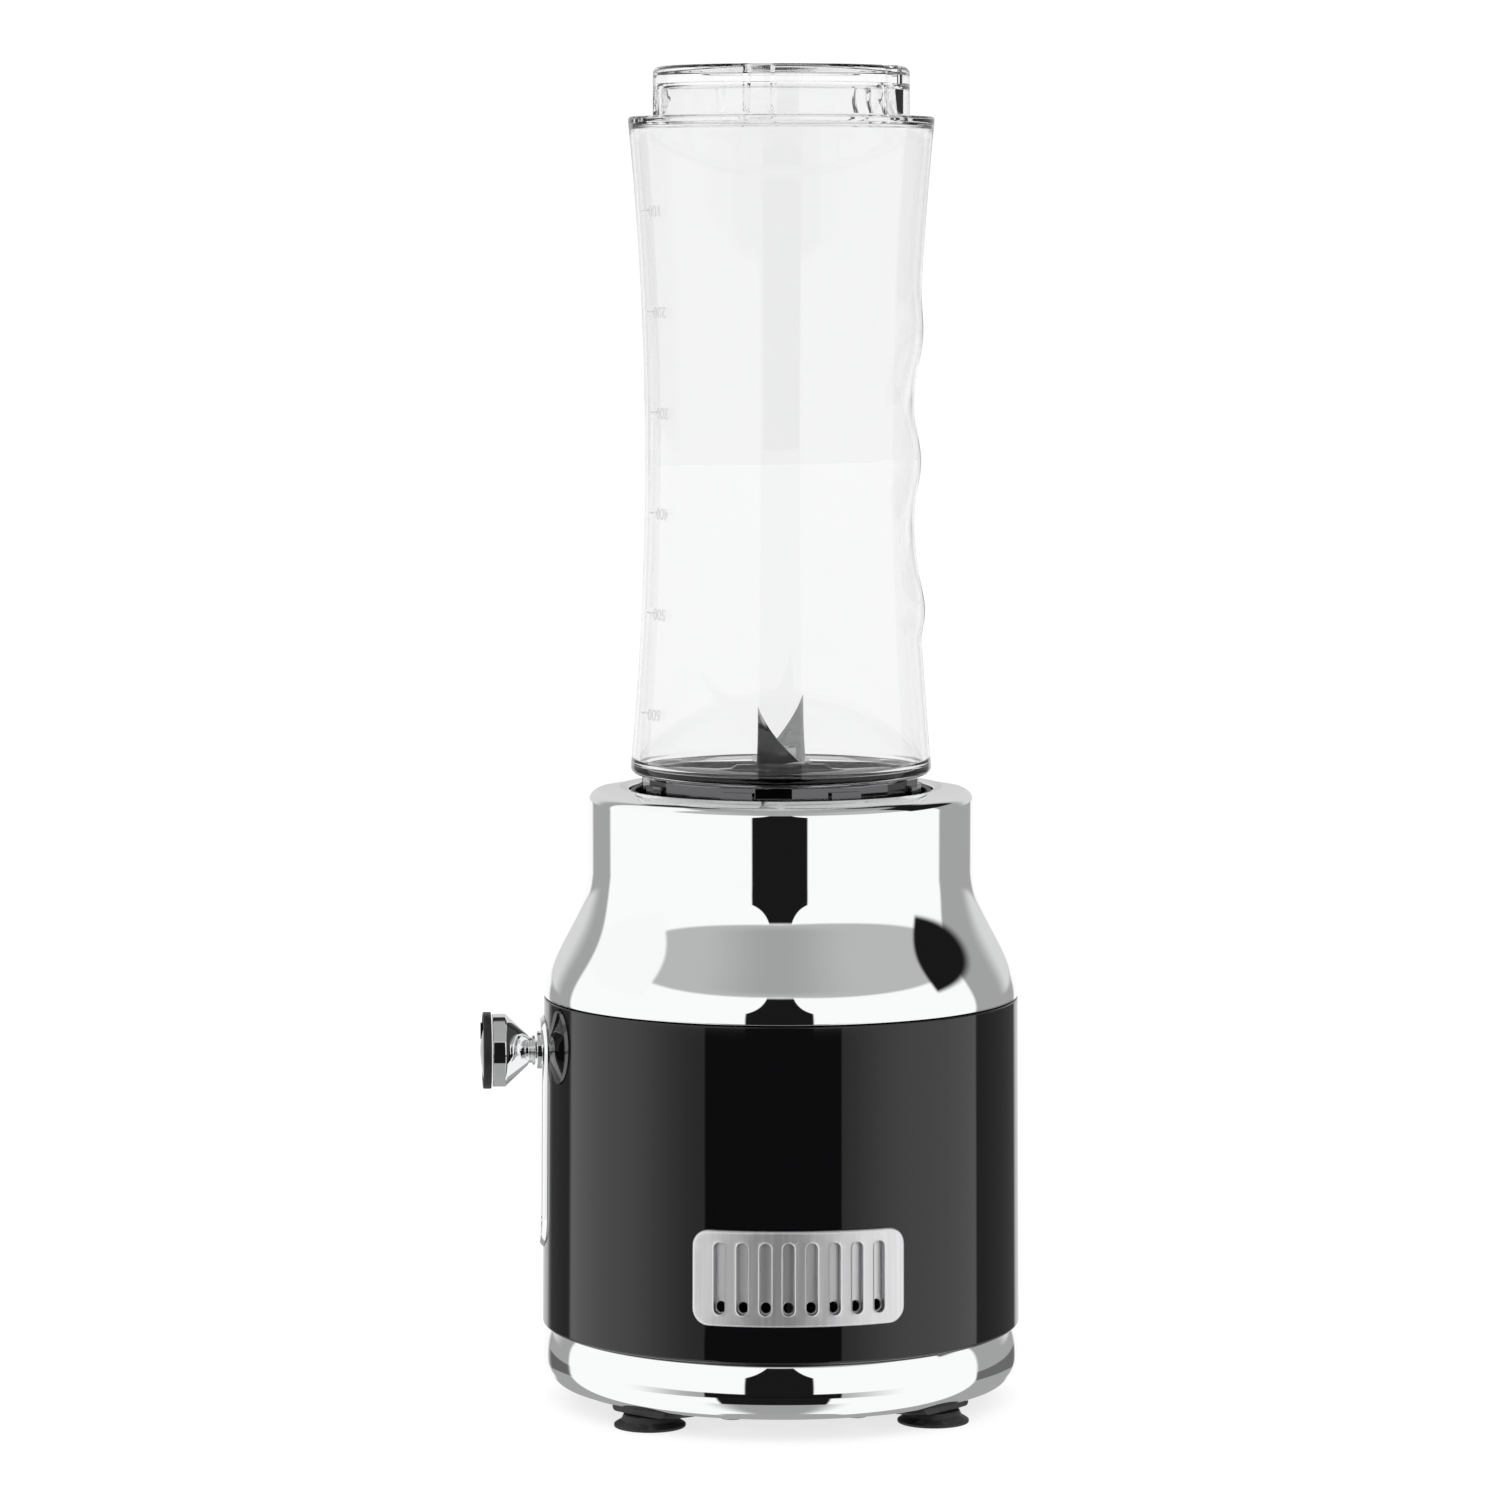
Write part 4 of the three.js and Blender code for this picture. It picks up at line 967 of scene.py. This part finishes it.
def knob():
    """Chrome knob with a straight cone to a beaded neck, a black band and a shallow dark dome with a
    pointer."""
    neck = 3.5
    cone = 66.8
    rim = 72.6
    body_r = 9.6
    shaft = 2.5
    back = BAND_BACK - 0.3
    profile = filleted([
        (0, back - 1.7), (shaft, back - 1.7), (shaft, KNOB_FOOT, 0.1), (neck + 0.45, KNOB_FOOT, 0.3),
        (neck + 0.45, KNOB_FOOT + 0.7, 0.3), (neck - 0.1, KNOB_FOOT + 1.0, 0.3),
        (neck - 0.1, cone - 0.5, 0.3), (neck + 0.5, cone - 0.1, 0.4), (body_r, rim, 0.8),
        (body_r, back, 0.25), (0, back),
    ], closed=False, detail=10)
    piece(turned("knob_shell", profile, MEDIUM, out_of_front), "knob", "chrome", "knob_body")

    band = filleted([
        (8.6, BAND_BACK), (BAND_R, BAND_BACK, 0.25), (BAND_R, BAND_FACE, 0.4), (9.2, BAND_FACE, 0.3),
        (8.6, BAND_FACE - 0.7, 0.2),
    ])
    piece(turned("grip_band", band, MEDIUM, out_of_front), "knob", "black_plastic", "knob_band")

    rim_r, rim_z = 8.3, BAND_FACE - 0.35
    rise = KNOB_FACE - 0.03 - rim_z
    dome = [(0, BAND_BACK), (rim_r, BAND_BACK), (rim_r, rim_z - 0.3)]
    dome += [(r, rim_z + rise * (1 - (r / rim_r) ** 1.6)) for r in spread(rim_r - 0.15, 0.3, 24)]
    dome += [(0, KNOB_FACE - 0.03)]
    cap = turned("knob_dome", dome, MEDIUM, out_of_front)
    pointer = moved(pill(0.55, 2.2), 0, 5.2)
    combine(cap, "UNION", raised("pointer", pointer, rim_z - 0.5, KNOB_FACE - 0.12, out_of_front))
    piece(cap, "knob", "chrome", "knob_cap", finish=DARK_CHROME)


# ---------------------------------------------------------------- seat and blade unit


def bottle_seat():
    """Black cup in the housing's mouth, with bayonet ledges and stops under its rim."""
    outer, inner, floor_z, hole = 39.6, 38.2, 143.5, 14.5
    pedestal_top = HOLDER_LOW - 0.3 + 3.0
    low = 141.0
    profile = filleted([
        (hole, low, 0.2), (outer, low, 0.3), (outer, SEAT_TOP, 0.5), (inner, SEAT_TOP, 0.5),
        (inner, floor_z, 0.8), (PEDESTAL_R, floor_z, 0.5), (PEDESTAL_R, pedestal_top, 0.3),
        (28.8, pedestal_top, 0.3), (28.8, floor_z, 0.5), (hole, floor_z, 0.4),
    ])
    cup = turned("seat_cup", profile, FINE)
    extras = []
    for i, angle in enumerate(LUG_ANGLES):
        ledge = sector(36.7, inner + 0.6, angle - 18, angle + 18)
        stop = sector(36.7, inner + 0.6, angle - 16.8, angle - 12.8)
        extras += [raised(f"ledge_{i}", ledge, 153.4, 156), raised(f"stop_{i}", stop, 149.5, 153.9)]
    extras += rods(3.5, SEAT_LOW, low + 0.5, 34.5, LUG_ANGLES)
    combine(cup, "UNION", *extras)
    combine(cup, "DIFFERENCE", *rods(1.9, 135, 146, 33.8, [90]))
    return piece(cup, "base", "black_plastic", "bottle_seat")


BLADE_FOLD = 9.0
BLADE_HALF = 7.1
BLADE_TIP_R = 20.0
SHEET = 1.2


def blade():
    """Two-winged blade from one sheet: a plate on the hub, and at each end a fin that curls up to a point,
    with its leading edge ground thin."""
    plate_outline = rounded_rectangle(BLADE_FOLD + 0.5, BLADE_HALF, 2.0)
    plate = raised("hub_plate", plate_outline, BLADE_Z, BLADE_Z + SHEET)
    shaft_hole = raised("shaft_hole", arc(0, 0, 2.7, 0, 352.5, 47), BLADE_Z - 1, BLADE_Z + 3)
    combine(plate, "DIFFERENCE", shaft_hole)
    soften(plate, 0.15, 2, 40)
    apply_modifiers(plate)
    fins = [blade_fin(0), blade_fin(180)]
    return piece(merged("two_wing_blade", plate, *fins), "blade_rotor", "blade_steel", "blade")


def blade_fin(turned_by):
    rows, across = 28, 9
    run = BLADE_TIP_R - BLADE_FOLD - 0.2
    rise = BLADE_TIP_Z - BLADE_Z - SHEET - 0.1
    points = []
    for s in spread(0, 1, rows):
        angle = math.atan2(rise, run) + (s - 0.55) * 0.55
        x = BLADE_FOLD - 0.2 + run * (s + 0.16 * math.sin(math.pi * s))
        z = BLADE_Z + SHEET / 2 + rise * (s - 0.05 * math.sin(math.pi * s))
        outer = -BLADE_HALF - 0.4 * s
        inner = outer + 0.25 + 11.5 * (1 - s) ** 1.25
        for t in spread(0, 1, across):
            thin = 1 - 0.75 * smooth_step((t - 0.55) / 0.4)
            half = SHEET / 2 * (0.35 + 0.65 * (1 - s)) * thin
            y = outer + (inner - outer) * t
            for side in (-1, 1):
                points.append((x + side * half * math.sin(angle), y, z - side * half * math.cos(angle)))
    width = 2 * (across + 1)
    faces = []
    for i in range(rows):
        for j in range(across):
            a, b = i * width + 2 * j, (i + 1) * width + 2 * j
            faces += [(a, a + 2, b + 2, b), (a + 1, b + 1, b + 3, a + 3)]
        a, b = i * width, (i + 1) * width
        faces += [(a, b, b + 1, a + 1), (a + width - 2, a + width - 1, b + width - 1, b + width - 2)]
    for row in (0, rows):
        start = row * width
        faces += [tuple(start + 2 * j + k for k in (0, 1, 3, 2)) for j in range(across)]
    c, s = polar(1, turned_by)
    return mesh_object(f"fin_{turned_by}", [(x * c - y * s, x * s + y * c, z) for x, y, z in points], faces)


# ---------------------------------------------------------------- bottle


def wall_radius(z):
    """Waisted outline of the bottle's body."""
    return WAIST_R + WAIST_CURVE - math.sqrt(WAIST_CURVE**2 - (z - WAIST_Z) ** 2)


# height, push outwards and length of each finger ridge or hollow at the rear of the bottle
FINGER_WAVES = (
    (280.7, 1.0, 7.0),
    (263.0, -0.85, 8.0),
    (247.6, 1.1, 7.0),
    (230.0, -0.85, 9.0),
    (209.3, 1.25, 6.5),
)
FINGER_CREASE = (201.5, -0.35, 3.5)
FINGER_ANGLE = 90
FINGER_SPREAD = 34
GROOVES = 5
GROOVE_START = -86.7
GROOVE_HALF = 3.7  # half width of a groove in the stepped foot, along the rim
GROOVE_DEPTH = 2.3


def finger_push(z, turn):
    away = abs((math.degrees(turn) - FINGER_ANGLE + 180) % 360 - 180)
    share = smooth_step(1.25 * (1 - away / FINGER_SPREAD))
    waves = (*FINGER_WAVES, FINGER_CREASE)
    return share * sum(push * bump_at(z, height, length) for height, push, length in waves)


def groove_push(turn):
    pitch = 360 / GROOVES
    away = abs((math.degrees(turn) - GROOVE_START + pitch / 2) % pitch - pitch / 2)
    across = math.radians(away) * CAP_R
    return -GROOVE_DEPTH * smooth_step((GROOVE_HALF + 0.5 - across) / 1.1)


def bottle():
    """Waisted bottle, neck down: outside up to the stepped foot, its dish, and back down the inside."""
    top = BOTTLE_TOP
    low = BOTTLE_LOW
    body = [(wall_radius(z), z) for z in spread(low + 4.2, SHOULDER_Z - 1.6, 110)]
    outside = filleted([
        (NECK_BORE, NECK_END, 0.5), (NECK_R, NECK_END, 0.5), (NECK_R, 160.2, 0.2),
        (NECK_R + 0.7, 161.2, 0.4), (NECK_R, 162.2, 0.2), (NECK_R, low + 0.2, 0.4),
        (wall_radius(low) - 0.1, low, 3.4), *body, (wall_radius(SHOULDER_Z) - 0.1, SHOULDER_Z, 1.0),
        (CAP_R, SHOULDER_Z, 0.5), (CAP_R, SHOULDER_Z + 4), (CAP_R, SHOULDER_Z + 8), (CAP_R, top, 2.0),
        (CAP_R - 5.4, top, 1.2), (CAP_R - 7.6, top - 2.4, 1.4), (16.5, top - 2.4, 0.5),
        (15.6, top - 1.9, 0.3), (13.6, top - 1.9, 0.3), (12.7, top - 2.4, 0.5), (0, top - 2.3),
    ], closed=False, detail=8)[1:]
    inner_body = [(wall_radius(z) - BOTTLE_WALL, z) for z in spread(SHOULDER_Z - 4.4, low + 6.4, 100)]
    within = filleted([
        (0, top - 4.5), (CAP_R - BOTTLE_WALL, top - 4.5, 1.8), (CAP_R - BOTTLE_WALL, SHOULDER_Z + 4),
        (CAP_R - BOTTLE_WALL, SHOULDER_Z - 2.1, 1.2),
        (wall_radius(SHOULDER_Z) - BOTTLE_WALL, SHOULDER_Z - 2.2, 1.6), *inner_body,
        (wall_radius(low) - BOTTLE_WALL - 0.2, low + 2.4, 2.4), (NECK_BORE, low + 0.6, 2.0),
        (NECK_BORE, NECK_END + 0.5),
    ], closed=False, detail=8)
    profile = outside + within
    cap_low, cap_high = SHOULDER_Z + 0.2, top + 1

    def radius_at(row, radius, z, turn):
        if radius < CAP_R - 6 or z < low:
            return radius
        if z > cap_low and radius > CAP_R - 4.5:
            full = smooth_step((z - cap_low) / 0.8)
            if row < len(outside):
                return radius + full * groove_push(turn)
            return radius + full * groove_push(turn) * smooth_step((cap_high - z) / 1.5)
        return radius + finger_push(z, turn)

    vessel = turned("bottle_vessel", profile, 300, radius_at=radius_at, sharp=50)
    return piece(vessel, "bottle", "clear_plastic", "bottle")


MARK_STEP = 26.0  # height of 100 ml
MARK_FIRST = 312.7
MARK_ANGLE = -64.0
PRINT_LOW, PRINT_HIGH = 0.02, 0.07  # how far the print stands off the wall


def volume_marks():
    """Printed scale on the bottle, which reads right way up when the bottle stands on its foot."""
    parts = []
    for i in range(6):
        height = MARK_FIRST - MARK_STEP * i
        line = raised(f"line_{i}", rounded_rectangle(1.6, 0.22, 0.2, 3), 0, 1, on_bottle(-6.4, height))
        curve = bpy.data.curves.new("figures", "FONT")
        curve.body = str(100 * (i + 1))
        curve.size = 4.2
        curve.align_x = "CENTER"
        curve.align_y = "CENTER"
        curve.extrude = 0.5
        figures = add_object(f"figures_{i}", curve)
        mesh = bpy.data.meshes.new_from_object(figures)
        bpy.data.objects.remove(figures)
        place = on_bottle(0, height)
        for vertex in mesh.vertices:
            x, y, z = vertex.co
            vertex.co = [c * MM for c in place(-x, -y, z + 0.5)]
        parts += [line, add_object(f"figures_{i}", mesh)]
    return piece(merged("volume_scale", *parts), "bottle", "clear_plastic", finish=MARK_PRINT)


def on_bottle(along, height):
    """Wraps flat points round the bottle's wall. z runs through the thickness of the print."""

    def place(x, y, z):
        turn = math.radians(MARK_ANGLE) + (along + x) / WAIST_R
        radius = wall_radius(height + y) + PRINT_LOW + (PRINT_HIGH - PRINT_LOW) * z
        return radius * math.cos(turn), AXIS_Y + radius * math.sin(turn), height + y

    return place


# ---------------------------------------------------------------- frame nodes that stay


def dress_frame_nodes():
    """Finishes and small round edges for the frame nodes that stay visible."""
    slots = {row["node"]: row["material_slot"] for row in frame["record"]["subparts"]}
    for name, node in frame["nodes"].items():
        if node.hide_render:
            continue
        node.data.materials.clear()
        node.data.materials.append(SPECIAL_FINISHES.get(name, FINISHES[slots[name]]))
        node.data.polygons.foreach_set("use_smooth", [True] * len(node.data.polygons))
        node.data.set_sharp_from_angle(angle=math.radians(32))
        soften(node, 0.2, 2, 40)


DARK_CHROME = chrome("dark_chrome", (0.12, 0.12, 0.13), 0.08, 0.14, 0.01)
MARK_PRINT = moulded("scale_print", (0.66, 0.66, 0.66), 0.4, 0.55, dust=0.0, wear=0.0)
# The blade holder's chrome gets a dark tint: painted shade of the narrow gap inside the black seat cup, and
# a painted reflection of that cup on the holder's sides.
SPECIAL_FINISHES = {"blade_holder": chrome("plating_with_painted_shade", (0.13, 0.13, 0.135), 0.05, 0.1, 0.01)}


def build():
    upper_housing()
    body_sleeve()
    base_ring()
    bottom_cover()
    for index, angle in enumerate(FOOT_ANGLES, 1):
        foot(index, angle)
    for index, angle in enumerate(TIE_ANGLES, 1):
        tie_screw(index, angle)
    grille("right", 0)
    grille("left", 180)
    control_plate()
    knob()
    bottle_seat()
    blade()
    bottle()
    volume_marks()
    dress_frame_nodes()


# ---------------------------------------------------------------- studio


VIEW_POLAR = -4.5  # direction of the camera from the drive axis


def panel_group():
    """Mask of one panel of the studio: a window of azimuth and elevation, in degrees, with soft edges."""
    tree, given, out = new_group(
        "studio_panel",
        {
            "Azimuth": 0.0, "Elevation": 0.0, "Left": -10.0, "Right": 10.0, "Low": -10.0, "High": 10.0,
            "Side soft": 1.0, "Edge soft": 1.0, "Narrow above": 90.0, "Narrowing": 0.0,
        },
        {"Mask": "NodeSocketFloat"},
    )

    excess = calc(tree, "MAXIMUM", calc(tree, "SUBTRACT", given["Elevation"], given["Narrow above"]), 0.0)
    widening = calc(tree, "MULTIPLY_ADD", excess, given["Narrowing"], 1.0)
    compared = {
        "Azimuth": calc(tree, "MULTIPLY", given["Azimuth"], widening), "Elevation": given["Elevation"],
    }

    def above(value, limit, soft):
        low = calc(tree, "SUBTRACT", given[limit], given[soft])
        high = calc(tree, "ADD", given[limit], given[soft])
        return remap(tree, compared[value], low, high, smooth=True)

    def between(value, low, high, soft):
        below = calc(tree, "SUBTRACT", 1.0, above(value, high, soft))
        return calc(tree, "MULTIPLY", above(value, low, soft), below)

    sideways = between("Azimuth", "Left", "Right", "Side soft")
    upright = between("Elevation", "Low", "High", "Edge soft")
    tree.links.new(calc(tree, "MULTIPLY", sideways, upright), out["Mask"])
    return tree


# left, right, low and high edge in degrees from the camera's side, softness sideways and upright, and
# brightness, in painting order
STUDIO_PANELS = (
    (-181, -130, 44, 68, 3, 3, 0.02),
    (130, 181, 44, 68, 3, 3, 0.02),
    (-123, 109, -75, 50, 1.5, 1.5, 1.02),
    (-95, 118, 34, 62, 3, 1, 0.5),
    (-30, 25, 36, 62, 25, 3, 0.38),
    (-122, -75, 20, 60, 1.5, 1.5, 1.0),
    (87, 136, 21, 54, 1.5, 2, 0.01),
    (-149, -123, -14, -6.9, 3, 0.3, 0.13),
    (109, 156, -14, -6.9, 1, 0.3, 0.15),
    (-60, 44, -14, -6.9, 22, 0.3, 0.4),
    (-33, 28, -78, -33, 12, 2, 0.36),
    (-31, 24, -34, -12.5, 1, 1, 0.01),
    (-36.7, 29.2, -13, -6.9, 0.6, 0.3, 0.008),
    (-181, -153, -20, 0, 3, 1.5, 1.0),
    (157, 181, -20, 0, 3, 1.5, 1.0),
    (-181, -140, 0, 42, 8, 1.5, 0.7),
    (140, 181, 0, 42, 8, 1.5, 0.7),
)
# the dark gap above them narrows towards its top
GAP_PANEL = (-17, 15.7, -9.5, 33, 0.6, 1.5, 0.01)
GAP_NARROWING = (14.0, 0.07)
DROOPING_PANEL = (-95, 118)  # this panel's lower edge falls towards its ends
DROOP = (-0.03, 0.07)  # degrees per degree to the left and to the right
STUDIO_BASE = 0.38


def studio_world():
    """Studio as mirrors see it: panels, a dark gap behind the camera and a pale backdrop. Seen directly,
    through the bottle or by matt surfaces, the surroundings are plain white. Mirrors inside the bottle see
    the dark parts of the studio brighter."""
    world = bpy.data.worlds.new("studio")
    bpy.context.scene.world = world
    world.use_nodes = True
    world.cycles.sampling_method = "NONE"
    tree = world.node_tree
    tree.nodes.clear()
    direction = add_node(tree, "ShaderNodeTexCoord").outputs["Generated"]
    x, y, z = add_node(tree, "ShaderNodeSeparateXYZ", {0: direction}).outputs
    turn = calc(tree, "MULTIPLY", calc(tree, "ARCTAN2", y, x), 180 / math.pi)
    azimuth = calc(tree, "WRAP", calc(tree, "SUBTRACT", turn, VIEW_POLAR), 180.0, -180.0)
    elevation = calc(tree, "MULTIPLY", calc(tree, "ARCSINE", z), 180 / math.pi)
    group = panel_group()
    tone = STUDIO_BASE
    for left, right, low, high, side_soft, edge_soft, level in (*STUDIO_PANELS, GAP_PANEL):
        extent = {"Left": left, "Right": right, "Low": low, "High": high}
        if (left, right) == GAP_PANEL[:2]:
            extent["Narrow above"], extent["Narrowing"] = GAP_NARROWING
        panel = place_group(tree, group, Side_soft=side_soft, Edge_soft=edge_soft, **extent)
        node = panel["Mask"].node
        height = elevation
        if (left, right) == DROOPING_PANEL:
            drops = [calc(tree, "MULTIPLY", azimuth, rate) for rate in DROOP]
            height = calc(tree, "ADD", elevation, calc(tree, "MAXIMUM", *drops))
        tree.links.new(azimuth, node.inputs["Azimuth"])
        tree.links.new(height, node.inputs["Elevation"])
        mix = add_node(tree, "ShaderNodeMix", {0: panel["Mask"], 2: tone, 3: level}, data_type="FLOAT")
        tone = mix.outputs[0]
    path = add_node(tree, "ShaderNodeLightPath").outputs
    through_bottle = calc(tree, "GREATER_THAN", path["Transmission Depth"], 2.5)
    lifted = calc(tree, "MULTIPLY_ADD", calc(tree, "GREATER_THAN", tone, 0.05), 0.5, 0.16)
    tone = calc(tree, "MAXIMUM", tone, calc(tree, "MULTIPLY", lifted, through_bottle))
    mirrored = add_node(tree, "ShaderNodeBackground", {"Color": tone})
    plain = add_node(tree, "ShaderNodeBackground", {"Color": rgb(1.0), "Strength": 1.06})
    open_air = calc(tree, "LESS_THAN", path["Transmission Depth"], 0.5)
    few_bounces = calc(tree, "LESS_THAN", path["Glossy Depth"], 2.5)
    clean = calc(tree, "ADD", open_air, calc(tree, "MULTIPLY", through_bottle, few_bounces))
    reflected = calc(tree, "MULTIPLY", calc(tree, "GREATER_THAN", path["Glossy Depth"], 0.5), clean)
    both = add_node(
        tree, "ShaderNodeMixShader", {0: reflected, 1: plain.outputs[0], 2: mirrored.outputs[0]}
    )
    add_node(tree, "ShaderNodeOutputWorld", {"Surface": both.outputs[0]})


def floor():
    """Plain pale floor that stays near white, with a faint shadow, and is clear from below."""
    size = 6000
    corners = [(-size, -size, 0), (size, -size, 0), (size, size, 0), (-size, size, 0)]
    plane = mesh_object("floor", corners, [(0, 1, 2, 3)])
    material, tree, shader = new_material("pale_floor", Roughness=0.9)
    speckle = place_group(tree, TEXTURE, Pit_scale=60.0)
    tone = remap(tree, speckle["Roughness"], 0.3, 0.6, 0.3, 0.31)
    tree.links.new(tone, shader.inputs["Base Color"])
    shader.inputs["Emission Color"].default_value = rgb(1.0)
    shader.inputs["Emission Strength"].default_value = 0.76
    below = add_node(tree, "ShaderNodeNewGeometry").outputs["Backfacing"]
    clear = add_node(tree, "ShaderNodeBsdfTransparent").outputs[0]
    sides = add_node(tree, "ShaderNodeMixShader", {0: below, 1: shader.outputs[0], 2: clear})
    output = next(node for node in tree.nodes if node.type == "OUTPUT_MATERIAL")
    tree.links.new(sides.outputs[0], output.inputs["Surface"])
    plane.data.materials.append(material)
    plane.visible_glossy = False


def camera():
    data = bpy.data.cameras.new("camera")
    data.sensor_width = 36
    data.lens = 137
    eye = add_object("camera", data)
    eye.location = (1.488, -0.109, 0.308)
    aim = Vector((0, 0, 0.1718))
    eye.rotation_mode = "QUATERNION"
    eye.rotation_quaternion = (aim - eye.location).to_track_quat("-Z", "Y")
    bpy.context.scene.camera = eye


camera()
build()
studio_world()
floor()
bpy.context.scene.view_settings.view_transform = "Standard"
